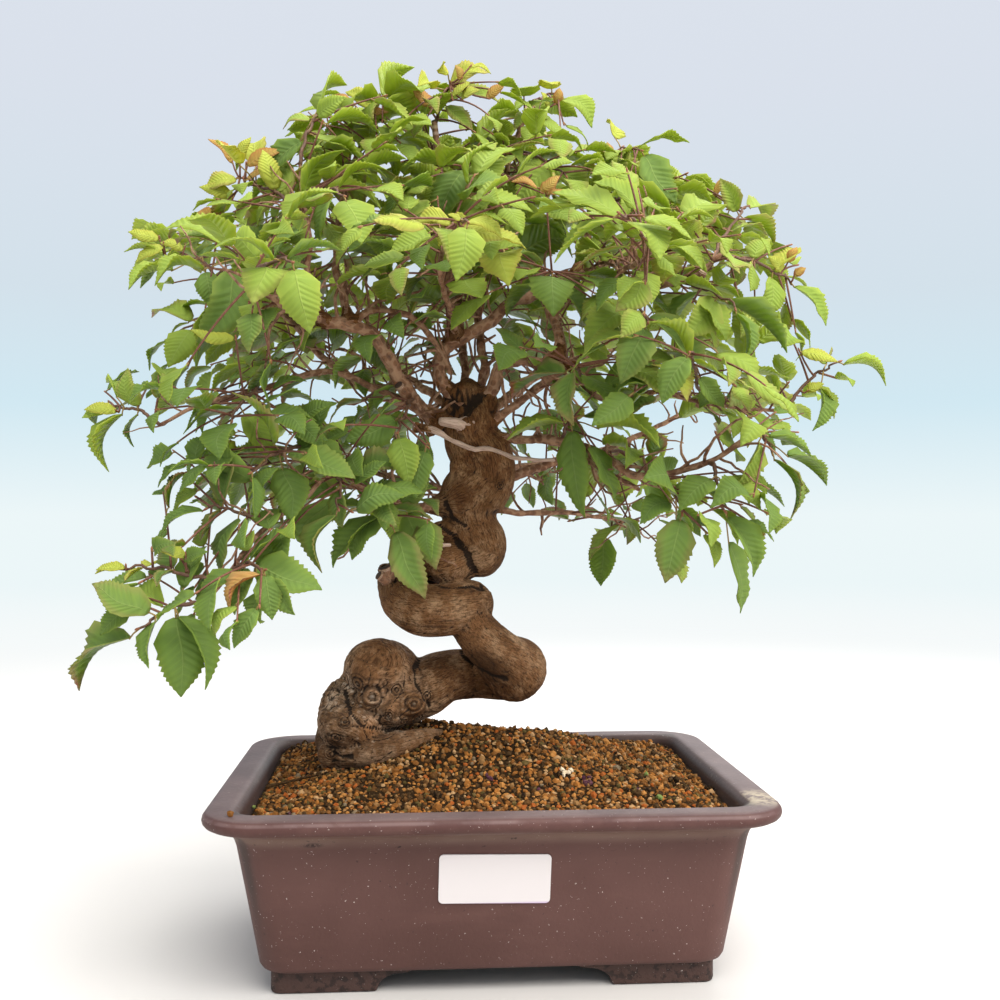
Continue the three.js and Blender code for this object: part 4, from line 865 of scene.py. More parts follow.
def special_grains(bed):
    for row, (view_x, view_y, reach, tone, count, size) in enumerate(SPECIAL_GRAINS):
        hit = seen_on(bed, view_x, view_y)
        if hit is None:
            continue
        for i in range(count):
            x = hit.x + within(reach, 710, row, i)
            y = hit.y + within(reach, 711, row, i)
            yield x, y, SPECIAL_LIFT * size, tone, (900, row, i)


def grains():
    bed = node_tree_of("soil")
    wood = node_tree_of("trunk")
    spots = [*strewn_grains(), *special_grains(bed)]
    bm = bmesh.new()
    bm.verts.layers.float.new("shade")
    for first in range(0, len(spots), GRAIN["batch"]):
        taken_in(bm, grain_part(spots[first:first + GRAIN["batch"]], bed, wood))
    taken_in(bm, fallen_twig(bed))
    taken_in(bm, rim_grain())
    return finished("soil_grains", bm, [grit_finish()], "grit", smooth=False)


def grain_part(spots, bed, wood):
    bm = bmesh.new()
    shade = bm.verts.layers.float.new("shade")
    for x, y, lift, tone, keys in spots:
        hit = bed.ray_cast(Vector((x, y, 150)), -UP)[0]
        if hit is None or hit.z < SOIL_LOWEST:
            continue
        above = wood.ray_cast(Vector((x, y, hit.z + 1)), UP)
        if above[0] is not None and above[1].z > 0:
            continue
        big = draw(703, *keys) < GRAIN["large_share"]
        radius = between(GRAIN["large"] if big else GRAIN["radius"], 704, *keys)
        scale = Vector([radius * between(GRAIN["stretch"], 705 + axis, *keys) for axis in range(3)])
        turn = Matrix.Rotation(6.28 * draw(708, *keys), 3, "Z")
        tilt = Matrix.Rotation(within(GRAIN["tilt"], 709, *keys), 3, "X")
        centre = Vector((x, y, hit.z + lift))
        place = Matrix.LocRotScale(centre, (turn @ tilt).to_quaternion(), scale)
        ball_verts = bmesh.ops.create_icosphere(bm, subdivisions=1, radius=1, matrix=place)["verts"]
        for k, v in enumerate(ball_verts):
            v.co = centre + (v.co - centre) * (1 + within(GRAIN["rough"], 712, k, *keys))
            v[shade] = tone
    return bm


def fallen_twig(bed):
    bm = bmesh.new()
    shade = bm.verts.layers.float.new("shade")
    way = [seen_on(bed, x, y) + UP * FALLEN_TWIG["lift"] for x, y in FALLEN_TWIG["points"]]
    radius = FALLEN_TWIG["radius"]
    tube(bm, [(place, radius * (1.1 - 0.5 * share)) for place, share in steps_along(way, 2)], 6)
    for v in bm.verts:
        v[shade] = FALLEN_TWIG["shade"]
    turned_out(bm)
    return bm


def rim_grain():
    """A grain of soil that lies on the rim."""
    bm = bmesh.new()
    shade = bm.verts.layers.float.new("shade")
    toward = seen(RIM_GRAIN["x"], RIM_GRAIN["y"], 0) - VIEW_EYE
    place = VIEW_EYE + toward * ((RIM_TOP + RIM_GRAIN["radius"] * 0.7 - VIEW_EYE.z) / toward.z)
    for k, v in enumerate(ball(bm, place, (RIM_GRAIN["radius"],) * 3, 1)):
        v.co = place + (v.co - place) * (1 + within(GRAIN["rough"], 713, k))
        v[shade] = RIM_GRAIN["shade"]
    return bm


def grit_finish():
    grit = Finish("grit")
    place = grit.object_place()
    tone = grit.attribute("shade")
    colour = grit.ramp(tone, GRIT_TONES, "CONSTANT")
    dust = grit.grain(place, 700, 3, 0.6)
    colour = grit.blend(dust.rise(0.4, 0.8) * 0.3, colour, (0.34, 0.19, 0.08))
    colour = grit.blend((1 - dust.rise(0.2, 0.45)) * 0.5, colour, (0.02, 0.012, 0.006))
    normal = grit.raised(grit.grain(place, 1400, 3, 0.6), 0.5, 0.0004)
    return grit.done(grit.surface(colour, 0.82 + dust * 0.15, normal, Specular_IOR_Level=0.06))


def bed_gap_shade_finish():
    bed = Finish("shaded_soil_bed")
    place = bed.object_place()
    # Near-black: the soil's own dark colour and painted shade in the gaps between the grains.
    colour = bed.blend(bed.grain(place, 350, 4), (0.006, 0.004, 0.002), (0.045, 0.024, 0.010))
    normal = bed.raised(bed.cells(place, 420), 0.8, 0.0012)
    roughness = 0.9 + bed.grain(place, 200) * 0.08
    return bed.done(bed.surface(colour, roughness, normal, Specular_IOR_Level=0.04))


def shaded_soil_bed():
    """The plain model's own bed, seen only between the grains, in near-black: the soil's own dark colour
    and painted shade in the gaps.
    """
    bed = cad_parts["soil"].data
    bed.materials.clear()
    bed.materials.append(bed_gap_shade_finish())


# Trunk: two coils of wood on a burl, fused into one skin
TRUNK_FOOT = {"top": (356, 740, 10), "radius": 17, "deep": 26, "overlap": 3}
TRUNK_SKIN = 0.8
BAR_PACE = 2.2
BAR_SIDES = 28
END_BALL = 0.99
COLLAR = {"from_radius": 1.6, "stations": 10, "sides": 16, "swell": 1.22, "thinner": 0.035}
SCARS = [
    # closed knots: the view's x and y, and the radius in millimetres
    [357, 684, 3.2], [372, 697, 5.4], [414, 704, 4.6], [418, 718, 2.2], [501, 485, 1.9],
    [345, 722, 2.2], [397, 690, 2.6], [388, 716, 2.0], [336, 738, 2.4], [352, 704, 1.9], [427, 696, 2.0],
    [403, 722, 1.8], [330, 754, 2.0],
]
TRUNK_COLLARS = [
    # swellings: the view's x and y, depth, radii
    [[444, 530, 0], [7, 7, 4.5]], [[494, 452, -1], [7, 6, 8]], [[462, 470, -1], [6, 6, 9]],
    [[378, 668, 0], [16, 15, 14]], [[352, 722, 0], [16, 15, 14]], [[392, 705, -2], [11, 11, 10]],
    [[456, 404, 4], [7, 7, 8]], [[484, 404, 6], [7, 7, 9]], [[468, 392, 10], [6, 6, 7]],
]
SEAMS = [
    # clefts, carved in and darkened with painted shade: the points of the view that each runs through, its
    # half width, and its depth
    [[(440, 524), (455, 538), (468, 556), (478, 578), (484, 590)], 2.4, 1.5],
    [[(456, 640), (463, 655), (478, 668), (492, 676), (506, 680)], 2.6, 1.4],
    [[(421, 655), (414, 668), (416, 682), (424, 696), (430, 708)], 2.0, 1.3],
    [[(345, 690), (350, 712), (362, 726), (385, 730), (410, 728)], 1.8, 1.0],
    [[(430, 583), (452, 588), (472, 586), (484, 590)], 1.8, 1.2],
    [[(334, 752), (341, 757), (352, 756)], 2.0, 1.6],
    [[(446, 395), (456, 402), (467, 405), (477, 397)], 6.6, 3.4],
    [[(384, 566), (388, 576), (396, 580)], 3.0, 1.6],
    [[(446, 503), (452, 517), (466, 527)], 1.6, 0.9],
]
SEAM_STEPS = 8
BURL = {"middle": (365, 705, 9), "radius": 34}
RUN_PACE = 0.1
RUN_TURNS = 8
RING_PACE = 9.5
RELIEF = {"striae": 0.28, "swells": 0.6, "cracks": 0.6, "rings": 0.35}
TRUNK_SMOOTHING = 5
UNDERSIDE_SHADE = 0.38


def wood_stations(row):
    """Close stations along a bar of wood, as (place, radius, share)."""
    way = [seen(x, y, depth) for x, y, depth, _ in row]
    radii = [point[3] for point in row]
    return [(place, value_at(radii, share), share) for place, share in steps_along(way, BAR_PACE)]


def trunk():
    bm = bmesh.new()
    bars = [wood_stations(row) for row in TRUNK_BARS]
    for stations in bars:
        tube(bm, [(place, radius) for place, radius, _ in stations], BAR_SIDES)
        for place, radius, _ in (stations[0], stations[-1]):
            ball(bm, place, (radius * END_BALL,) * 3)
    for place, radii in [*TRUNK_LUMPS, *TRUNK_COLLARS]:
        ball(bm, seen(*place), radii, 4)
    half_deep = TRUNK_FOOT["deep"] / 2
    foot_radii = (TRUNK_FOOT["radius"], TRUNK_FOOT["radius"], half_deep + TRUNK_FOOT["overlap"])
    ball(bm, seen(*TRUNK_FOOT["top"]) - UP * half_deep, foot_radii, 4)
    for name in LIMBS:
        stations = limb_stations(name)
        if stations[0][1] > COLLAR["from_radius"]:
            swollen = [(place, radius * (COLLAR["swell"] - COLLAR["thinner"] * i))
                       for i, (place, radius) in enumerate(stations[:COLLAR["stations"]])]
            tube(bm, swollen, COLLAR["sides"])
    turned_out(bm)
    skin = fused(bm, TRUNK_SKIN)
    for _ in range(TRUNK_SMOOTHING):
        bmesh.ops.smooth_vert(skin, verts=skin.verts, factor=0.5, use_axis_x=True, use_axis_y=True,
                              use_axis_z=True)
    carve_bark(skin, bars)
    return finished("coiled_trunk", skin, [bark_finish()], "bark")


def tree_of(places):
    tree = KDTree(len(places))
    for i, place in enumerate(places):
        tree.insert(place, i)
    tree.balance()
    return tree


def seam_cuts(surface):
    """Close places along the seams, each with its half width and its depth."""
    for points, half_width, deep in SEAMS:
        for (x0, y0), (x1, y1) in zip(points, points[1:]):
            for step in range(SEAM_STEPS):
                share = step / SEAM_STEPS
                place = seen_on(surface, x0 + (x1 - x0) * share, y0 + (y1 - y0) * share)
                if place is not None:
                    yield place, half_width, deep


def carve_bark(skin, bars):
    """Gives the skin its striae, swells and clefts, and tells the finish how the wood runs, where its
    cracks are dark, and where shade is painted: in the clefts, in sunken places and on undersides.
    """
    stations = [(station[0], row, step) for row, track in enumerate(bars)
                for step, station in enumerate(track)]
    tree = tree_of([place for place, _, _ in stations])
    surface = BVHTree.FromBMesh(skin)
    scars = [(seen_on(surface, x, y), radius) for x, y, radius in SCARS]
    cuts = list(seam_cuts(surface))
    cut_tree = tree_of([place for place, _, _ in cuts])
    run = skin.verts.layers.float_vector.new("run")
    hollow, burl, whorl = (skin.verts.layers.float.new(name) for name in ("hollow", "burl", "whorl"))
    skin.normal_update()
    burl_middle = seen(*BURL["middle"])
    for v in skin.verts:
        place, index, _ = tree.find(v.co)
        row, step = stations[index][1:]
        track = bars[row]
        ahead = (track[min(step + 1, len(track) - 1)][0] - track[max(step - 1, 0)][0]).normalized()
        out = v.co - place
        along = step * BAR_PACE + out.dot(ahead)
        side = ahead.cross(UP if abs(ahead.z) < 0.9 else Vector((1, 0, 0))).normalized()
        around = math.atan2(out.dot(side.cross(ahead)), out.dot(side))
        v[burl] = min(1, 1.6 * (1 - min((v.co - burl_middle).length / BURL["radius"], 1)))
        twisted = Vector((along * RUN_PACE + 7 * row, math.cos(around) * RUN_TURNS,
                          math.sin(around) * RUN_TURNS))
        v[run] = twisted
        reach, radius = min(((v.co - centre).length / size, size) for centre, size in scars)
        stria = noise.noise(twisted * 0.8) * (1 - v[burl] * 0.5)
        crack = max(0, 1 - abs(noise.noise(v.co * 0.13 + Vector((3, 5, 7)))) * 7)
        crack *= 0.25 + 0.9 * v[burl]
        near, away = cut_tree.find(v.co)[1:]
        width = cuts[near][1] * max(0.35, 0.85 + 0.9 * noise.noise(v.co * 0.17))
        cleft = max(0, 1 - away / width) ** 1.3
        shade = max(0, 1 - away / (width * 2.6)) ** 2
        reach *= 1 + 0.3 * noise.noise(v.co * 0.16)
        v[whorl] = min(reach, 4)
        ring = math.cos(reach * RING_PACE) * max(0, 1 - reach / 1.7)
        lift = RELIEF["striae"] * stria + RELIEF["swells"] * noise.noise(v.co * 0.055)
        lift -= RELIEF["cracks"] * crack
        lift += v[burl] * (1.1 * noise.noise(v.co * 0.2) + 1.3 * abs(noise.noise(v.co * 0.42)) - 0.3)
        lift += RELIEF["rings"] * ring - cleft * cuts[near][2]
        # Dark cracks, and painted shade in and beside the clefts and on the undersides.
        v[hollow] = crack * 0.5 - stria * 0.3 + cleft * 0.9 + shade * 0.5 - ring * 0.2
        v[hollow] += UNDERSIDE_SHADE * max(0, -v.normal.z)
        v.co += v.normal * lift
    skin.normal_update()
    # Painted shade in sunken places of the skin.
    sunk = {}
    for v in skin.verts:
        ring = [e.other_vert(v).co for e in v.link_edges]
        sunk[v.index] = (sum(ring, Vector()) / len(ring) - v.co).dot(v.normal)
    for v in skin.verts:
        v[hollow] += max(-0.5, min(0.9, sunk[v.index] * 6))


# The bark's finish: places of the view
RUSTY_END = (366, 727, -8)
COIL_SHADE_SPOTS = [((480, 664, -18), 0.010), ((497, 678, -18), 0.011)]


def bark_colours(bark, place, dark, mid, light):
    patches = bark.grain(place, 45, 4)
    colour = bark.blend(patches.rise(0.3, 0.6), dark, mid)
    pale = bark.grain(place, 90, 5, 0.65)
    return bark.blend(pale.rise(0.45, 0.68) * 0.8, colour, light)


def bark_finish():
    bark = Finish("trunk_bark")
    place = bark.object_place()
    run = bark.attribute("run", "Vector")
    hollow = bark.attribute("hollow")
    burl = bark.attribute("burl")
    whorl = bark.attribute("whorl")
    colour = bark_colours(bark, place, (0.190, 0.100, 0.046), (0.350, 0.200, 0.106),
                          (0.640, 0.480, 0.345))
    flecks = bark.grain(run, 3.4, 5, 0.72)
    colour = bark.blend(flecks.rise(0.36, 0.54, 0.9, 0.0), colour, (0.050, 0.027, 0.014))
    colour = bark.blend(flecks.rise(0.56, 0.74) * 0.6, colour, (0.74, 0.61, 0.47))
    fissures = bark.cells(bark.scaled(place, (1.0, 1.0, 1.5)), 260)
    colour = bark.blend(burl * (1 - fissures.rise(0.08, 0.34)) * 0.8, colour, (0.80, 0.67, 0.53))
    colour = bark.blend(burl * fissures.rise(0.5, 0.72) * 0.75, colour, (0.060, 0.038, 0.024))
    crumbs = bark.grain(place, 620, 4, 0.7)
    colour = bark.blend(crumbs.rise(0.36, 0.5, 0.5, 0.0), colour, (0.075, 0.048, 0.030))
    rust = bark.grain(place, 28, 3, 0.5)
    colour = bark.blend(rust.rise(0.56, 0.72) * 0.35, colour, (0.330, 0.170, 0.080))
    rings = (whorl * RING_PACE + flecks * 2.5).math("COSINE") * 0.5 + 0.5
    near_scar = 1 - whorl.rise(1.0, 2.2)
    ringed = near_scar * rings.rise(0.15, 0.6, 1.0, 0.0)
    colour = bark.blend(ringed * 0.6, colour, (0.060, 0.038, 0.025))
    colour = bark.blend((1 - whorl.rise(0.10, 0.22)) * 0.5, colour, (0.36, 0.33, 0.29))
    colour = bark.blend(bark.near(place, RUSTY_END, 0.003, 0.008) * 0.75, colour, (0.46, 0.22, 0.09))
    # Painted shade: two soft dark spots in the hollow where the coils overlap.
    above, below = (bark.near(place, at, 0.002, outer, (0.8, 0.3, 1)) for at, outer in COIL_SHADE_SPOTS)
    colour = bark.blend((above + below).math("MINIMUM", 1.0) * 0.72, colour, (0.050, 0.028, 0.016))
    z = bark.parts(place)[2]
    moss = bark.grain(place, 60, 4).rise(0.45, 0.65) * z.rise(0.14, 0.2) * 0.35
    colour = bark.blend(moss, colour, (0.16, 0.095, 0.034))
    colour = bark.blend(1 - burl, colour, (0.72, 0.58, 0.44), "MULTIPLY")
    colour = bark.blend(z.rise(0.18, 0.24), colour, (0.84, 0.74, 0.62), "MULTIPLY")
    # Painted shade: cracks, clefts, sunken places and undersides darkened.
    colour = bark.blend(hollow.rise(0.15, 0.85, 0.0, 0.94), colour, (0.020, 0.013, 0.009))
    height = flecks + crumbs * 0.8 - burl * fissures * 1.2
    height += bark.grain(place, 160, 4, 0.6) * 0.5 + rings * near_scar
    normal = bark.raised(height, 0.85, 0.0012)
    return bark.done(bark.surface(colour, 0.72 + crumbs * 0.2, normal, Specular_IOR_Level=0.15))


# Limbs, their cut stubs and the net of bare spurs
LIMB_PACE = 1.7
THICK_LIMB = 3.7
LIMB_SIDES = {"thick": 14, "thin": 9, "stub": 12, "spur": 6}
LIMB_FLARE = 1.8
FLARE_REACH = 14
DEAD_WOOD = ["dead_twig", "short_stub", "hooked_twig"]
DEAD_THINNER = 0.95
SWAY = {"live": 0.55, "dead": 1.6}
LIMB_KNOTS = 0.24
# each end's stations, as reach past the last one and size, in radii of it
LIMB_ENDS = {"live": ((0.7, 0.75), (1.1, 0.3)), "dead": ((0.5, 0.6),)}
SPUR = {"from": 6, "every": 4, "length": (9, 46), "radius": (0.55, 1.15), "step": 4, "bend": 0.42,
        "thinner": 0.55}
WOOD_KINDS = {"live": 0.0, "spur": 0.25, "dead": 0.5, "pale_cut": 0.75, "dark_cut": 1.0}
CUT_STUBS = [
    # the view's x and y, depth, way of the cut end, length, radius, kind of the cut
    [388, 576, -3, (-0.3, -0.3, 0.9), 5, 3.4, "dark_cut"],
    [392, 574, -5, (0.2, -0.2, 1.0), 4, 1.8, "dark_cut"],
    [384, 579, -6, (-0.7, -0.4, 0.5), 3.5, 2.2, "dark_cut"],
    [404, 392, -7, (-0.5, -0.6, 0.6), 5, 2.2, "dark_cut"],
    [558, 366, -8, (0.2, -0.9, -0.4), 4, 1.8, "pale_cut"],
    [441, 205, 14, (0.8, -0.5, 0.2), 5, 1.5, "dark_cut"],
    [312, 300, -24, (0.7, -0.7, 0.1), 4, 1.4, "pale_cut"],
    [596, 276, 6, (0.1, -0.7, -0.7), 5, 1.6, "dark_cut"],
    [700, 401, -18, (0.2, -0.6, 0.8), 4, 1.2, "dark_cut"],
    # the cut leaders at the top
    [440, 172, 10, (-0.12, -0.15, 1.0), 24, 1.5, "dark_cut"],
    [513, 152, 40, (0.32, -0.1, 1.0), 26, 1.3, "dark_cut"],
    # a cut end on the level limb at the right
    [700, 279, -22, (0.3, -0.5, 0.8), 4, 2.0, "pale_cut"],
]
STUB_STATIONS = [
    # reach in millimetres, reach as a share of the length, size in radii, whether it is the cut end
    (-3, 0, 1.25, False), (0, 0, 1.1, False), (0, 0.5, 1.0, False), (0, 1, 0.95, True),
    (0.25, 1, 0.78, True),
]


def limb_way(name):
    return [seen(x, y, depth) for x, y, depth in LIMBS[name][0]]


def state_of(name):
    return "dead" if name in DEAD_WOOD else "live"


def limb_stations(name):
    """Close stations along a limb, with its flare, its knots and its small bends."""
    start, end = LIMBS[name][1]
    key = list(LIMBS).index(name)
    stations = []
    steps = steps_along(limb_way(name), LIMB_PACE)
    for i, (place, share) in enumerate(steps):
        reach = i * LIMB_PACE
        radius = (start + (end - start) * share) / 2 * (DEAD_THINNER if name in DEAD_WOOD else 1)
        radius *= 1 + (LIMB_FLARE - 1) * max(0, 1 - reach / FLARE_REACH) ** 2
        radius *= 1 + LIMB_KNOTS * noise.noise(Vector((reach * 0.13, key * 9.1, 0)))
        sway = Vector([noise.noise(Vector((reach * 0.09, key * 5.3, axis * 31))) for axis in range(3)])
        edge = min(1, i / 5, (len(steps) - 1 - i) / 4)
        stations.append((place + sway * SWAY[state_of(name)] * radius * edge, radius))
    return stations


def wood_part():
    """A new mesh, and its layers that tell the finish the kind of the wood and how it runs."""
    bm = bmesh.new()
    return bm, bm.verts.layers.float.new("kind"), bm.verts.layers.float_vector.new("run")


def limb_part(key, name):
    bm, kind, run = wood_part()
    stations = limb_stations(name)
    sides = LIMB_SIDES["thick" if LIMBS[name][1][0] > THICK_LIMB else "thin"]
    state = state_of(name)
    place, radius = stations[-1]
    ahead = (place - stations[-2][0]).normalized()
    stations += [(place + ahead * radius * reach, radius * size) for reach, size in LIMB_ENDS[state]]
    for i, ring in enumerate(tube(bm, stations, sides)):
        centre = stations[i][0]
        for j, v in enumerate(ring):
            angle = 2 * math.pi * j / sides
            along = i * LIMB_PACE * 0.11 + key * 7
            twisted = Vector((along, math.cos(angle) * 1.6, math.sin(angle) * 1.6))
            flake = noise.noise(twisted * 1.3) * 0.20 + noise.noise(v.co * 0.6) * 0.16
            v.co = centre + (v.co - centre) * (1 + flake)
            v[run] = twisted
            v[kind] = WOOD_KINDS[state]
    turned_out(bm)
    return bm


def stub_part(row, stub):
    x, y, depth, way, length, radius, cut = stub
    bm, kind, run = wood_part()
    start = seen(x, y, depth)
    ahead = Vector(way).normalized()
    stations = [(start + ahead * (base + share * length), radius * size, end)
                for base, share, size, end in STUB_STATIONS]
    rings = tube(bm, [(place, size) for place, size, _ in stations], LIMB_SIDES["stub"])
    for i, (ring, (_, _, end)) in enumerate(zip(rings, stations)):
        for j, v in enumerate(ring):
            v[run] = Vector((i * 0.4, j * 0.8, row))
            v[kind] = WOOD_KINDS[cut if end else "live"]
    turned_out(bm)
    return bm


def spur_stations(key, i, place, radius):
    """Stations of a crooked spur, which sets out from station i of a limb."""
    outward = (place - CROWN_MIDDLE + UP * 30).normalized()
    way = (drawn_vector(1, 870, key, i) + outward * 0.5).normalized()
    reach = between(SPUR["length"], 873, key, i)
    thick = min(radius * 0.6, between(SPUR["radius"], 874, key, i))
    places = [place]
    count = max(3, round(reach / SPUR["step"]))
    for step in range(count):
        way = (way + drawn_vector(SPUR["bend"], 875, key, i, step) + UP * 0.05).normalized()
        places.append(places[-1] + way * reach / count)
    return [(place, thick * (1 - SPUR["thinner"] * step / count)) for step, place in enumerate(places)]


def spur_parts():
    """The net of bare twigs that fills the inside of the crown."""
    for key, name in enumerate(LIMBS):
        if name in DEAD_WOOD:
            continue
        stations = limb_stations(name)
        for i in range(SPUR["from"], len(stations) - 2, SPUR["every"]):
            spur = spur_stations(key, i, *stations[i])
            if not all(inside(view_of(place), CROWN_OUTLINE) for place, _ in spur[2:]):
                continue
            bm, kind, run = wood_part()
            for step, ring in enumerate(tube(bm, spur, LIMB_SIDES["spur"])):
                for j, v in enumerate(ring):
                    v[run] = Vector((step * 0.5 + i, j * 0.9, key))
                    v[kind] = WOOD_KINDS["spur"]
            turned_out(bm)
            yield bm


def limbs():
    bm = wood_part()[0]
    for key, name in enumerate(LIMBS):
        taken_in(bm, limb_part(key, name))
    for row, stub in enumerate(CUT_STUBS):
        taken_in(bm, stub_part(row, stub))
    for part in spur_parts():
        taken_in(bm, part)
    return finished("limbs", bm, [limb_finish()], "bark", "trunk")


def limb_finish():
    bark = Finish("limb_bark")
    place = bark.object_place()
    run = bark.attribute("run", "Vector")
    kind = bark.attribute("kind")
    colour = bark_colours(bark, place, (0.150, 0.058, 0.026), (0.270, 0.118, 0.056),
                          (0.420, 0.225, 0.130))
    striae = bark.grain(run, 2.2, 4, 0.7)
    colour = bark.blend(striae.rise(0.3, 0.55, 0.65, 0.0), colour, (0.055, 0.030, 0.022))
    flakes = bark.cells(place, 330)
    colour = bark.blend(flakes.rise(0.45, 0.7) * 0.6, colour, (0.46, 0.27, 0.16))
    colour = bark.blend((1 - flakes.rise(0.1, 0.3)) * 0.5, colour, (0.075, 0.038, 0.026))
    dead = 1 - abs(kind - WOOD_KINDS["dead"]).rise(0.02, 0.1)
    pale = bark.blend(striae.rise(0.3, 0.6), (0.30, 0.180, 0.130), (0.62, 0.44, 0.34))
    colour = bark.blend(dead, colour, pale)
    pale_cut = 1 - abs(kind - WOOD_KINDS["pale_cut"]).rise(0.02, 0.1)
    colour = bark.blend(pale_cut, colour, (0.55, 0.40, 0.26))
    dark_cut = kind.rise(0.93, 0.99)
    colour = bark.blend(dark_cut * 0.85, colour, (0.030, 0.020, 0.016))
    normal = bark.raised(striae + bark.grain(place, 500, 4, 0.6) * 0.7 + flakes * 0.5, 0.7, 0.0007)
    return bark.done(bark.surface(colour, 0.68 + striae * 0.18, normal))


# Crown: the plain model's blades are found again and dressed, and more leaves grow between them
TWIG_TRIES = 9
TWIG_RISE = 6
TWIG_SWAY = 5
TWIG_END = {"half_width": 0.6, "half_thickness": 0.6}
BLADE_HALF_THICKNESS = 0.35
TWIG_FOUND_WITHIN = 0.24
FOUND_WITHIN = 0.06
LEAF_TRIES = 20
ADDED_TRIES = 30
ADDED_ROOM = 2.2
PAIRS_FROM = 0.3
PAIRS_TO = 0.9
KEYS_PER_SHOOT = 64
FREE_KEYS_FROM = 32
SEEN_FACING = Vector((0, -0.9, 0.6))
LEAF_STALK = 0.12


def outward_and_up(place):
    return (place - CROWN_MIDDLE).normalized() * 0.6 + UP * 0.8


def level_with(facing, ahead):
    """The way across a twig or a leaf that is nearest to a facing."""
    return (facing - ahead * facing.dot(ahead)).normalized()


class Twig:
    """A shoot's twig, bowed from its limb to its end."""

    def __init__(self, start, middle, end, seen_in_front):
        self.start, self.middle, self.end = start, middle, end
        self.seen_in_front = seen_in_front

    def place(self, t):
        return self.start * (1 - t) ** 2 + self.middle * 2 * t * (1 - t) + self.end * t ** 2

    def ahead(self, t):
        return ((self.middle - self.start) * (1 - t) + (self.end - self.middle) * t).normalized()

    def frame(self, t):
        place, ahead = self.place(t), self.ahead(t)
        normal = level_with(SEEN_FACING if self.seen_in_front else outward_and_up(place), ahead)
        return place, ahead, normal, normal.cross(ahead)


class Leaf:
    """A leaf from its root to its tip. Its row is that of the table, where the view shows it."""

    def __init__(self, root, tip, facing, width, key, row=None):
        self.root, self.tip, self.width, self.key, self.row = root, tip, width, key, row
        self.length = (tip - root).length
        self.along = (tip - root) / self.length
        self.normal = level_with(facing, self.along)
        self.across = self.normal.cross(self.along)
        self.stalk = LEAF_STALK
        self.tone = None
        if row is not None:
            shown = (seen(row[2], row[3], tip.y) - seen(row[0], row[1], tip.y)).length
            self.stalk = min(max(LEAF_STALK, 1 - 1.06 * shown / self.length), 0.6)
            self.width = min(width, 0.68 * self.length * (1 - self.stalk))

    @property
    def name(self):
        """The point of the view at its root, under which the tables have it."""
        return (self.row[0], self.row[1]) if self.row is not None else None

    def point(self, t, side=0):
        return (self.root + self.along * t * self.length + self.across * side * self.width / 2
                + self.normal * abs(side) * 0.3 * self.width / 2)


def twig_of(shoot, attempt):
    limb, share, end, *_, rows = SHOOTS[shoot]
    start = way_point(limb_way(limb), share)
    tip = seen(*end)
    sway = drawn_vector(TWIG_SWAY * attempt, 11, shoot, attempt)
    return Twig(start, start.lerp(tip, 0.5) + UP * TWIG_RISE + sway, tip, bool(rows))


def found_twig(shoot, corners):
    """The first try of a shoot's twig that ends where the plain model's does."""
    for attempt in range(TWIG_TRIES):
        twig = twig_of(shoot, attempt)
        place, _, normal, left = twig.frame(1)
        corner = place + left * TWIG_END["half_width"] + normal * TWIG_END["half_thickness"]
        if corners.find(corner)[2] < TWIG_FOUND_WITHIN:
            return twig
    return twig_of(shoot, 0)


def leaf_places(shoot, twig):
    """Side, place and frame of each leaf on a twig: pairs along it, and one at its end."""
    pairs = (SHOOTS[shoot][3] - 1) // 2
    shares = [PAIRS_FROM + (PAIRS_TO - PAIRS_FROM) * (pair + 0.5) / pairs for pair in range(pairs)]
    places = [(share, side) for share in shares for side in (1, -1)]
    return [(side, *twig.frame(share)) for share, side in [*places, (1, 0)]]


def seen_leaf(place, row, key, attempt):
    """A leaf from a place on its twig to the tip that the view shows."""
    root = place[1]
    x = row[2] + within(1.2 * attempt, 32, key, attempt)
    y = row[3] + within(1.2 * attempt, 33, key, attempt)
    tip = seen(x, y, root.y - 3 + within(3 * (attempt + 1), 31, key, attempt))
    facing = Vector((within(0.5, 34, key, attempt), -0.9, 0.6))
    width = row[4] if len(row) > 4 else 0.57 * (tip - root).length
    return Leaf(root, tip, facing, width, key, row)


def free_leaf(place, size, key, attempt):
    """A leaf that stands off its twig to one side, or ahead at its end."""
    side, root, ahead, _, left = place
    opening = between((0.5, 1.3), 41, key, attempt) if side else 0
    swing = 0.12 * attempt
    way = ahead * math.cos(opening) + left * side * math.sin(opening)
    way += Vector((within(swing, 43, key, attempt), within(swing, 44, key, attempt),
                   within(swing, 45, key, attempt) - between((0.15, 0.75), 42, key, attempt)))
    length = size * between((0.86, 1.16), 46, key, attempt)
    facing = outward_and_up(root)
    facing += Vector((within(0.35, 47, key, attempt), within(0.35, 48, key, attempt), 0))
    return Leaf(root, root + way.normalized() * length, facing, 0.62 * length, key)


def found_leaves(shoot, twig, corners):
    """The blades that the plain model has on a shoot."""
    def there(leaf):
        return all(corners.find(leaf.tip + leaf.normal * side * BLADE_HALF_THICKNESS)[2] < FOUND_WITHIN
                   for side in (1, -1))

    places = leaf_places(shoot, twig)
    leaves, taken = [], set()
    for order, row in enumerate(SHOOTS[shoot][5]):
        key = shoot * KEYS_PER_SHOOT + order
        options = [(at, seen_leaf(places[at], row, key, attempt)) for at in range(len(places))
                   for attempt in range(LEAF_TRIES)]
        match = next(((at, leaf) for at, leaf in options if there(leaf)), None)
        if match:
            taken.add(match[0])
            leaves.append(match[1])
    for at, place in enumerate(places):
        if at in taken:
            continue
        key = shoot * KEYS_PER_SHOOT + FREE_KEYS_FROM + at
        options = (free_leaf(place, SHOOTS[shoot][4], key, attempt) for attempt in range(LEAF_TRIES))
        leaf = next((leaf for leaf in options if there(leaf)), None)
        if leaf:
            leaves.append(leaf)
    return leaves


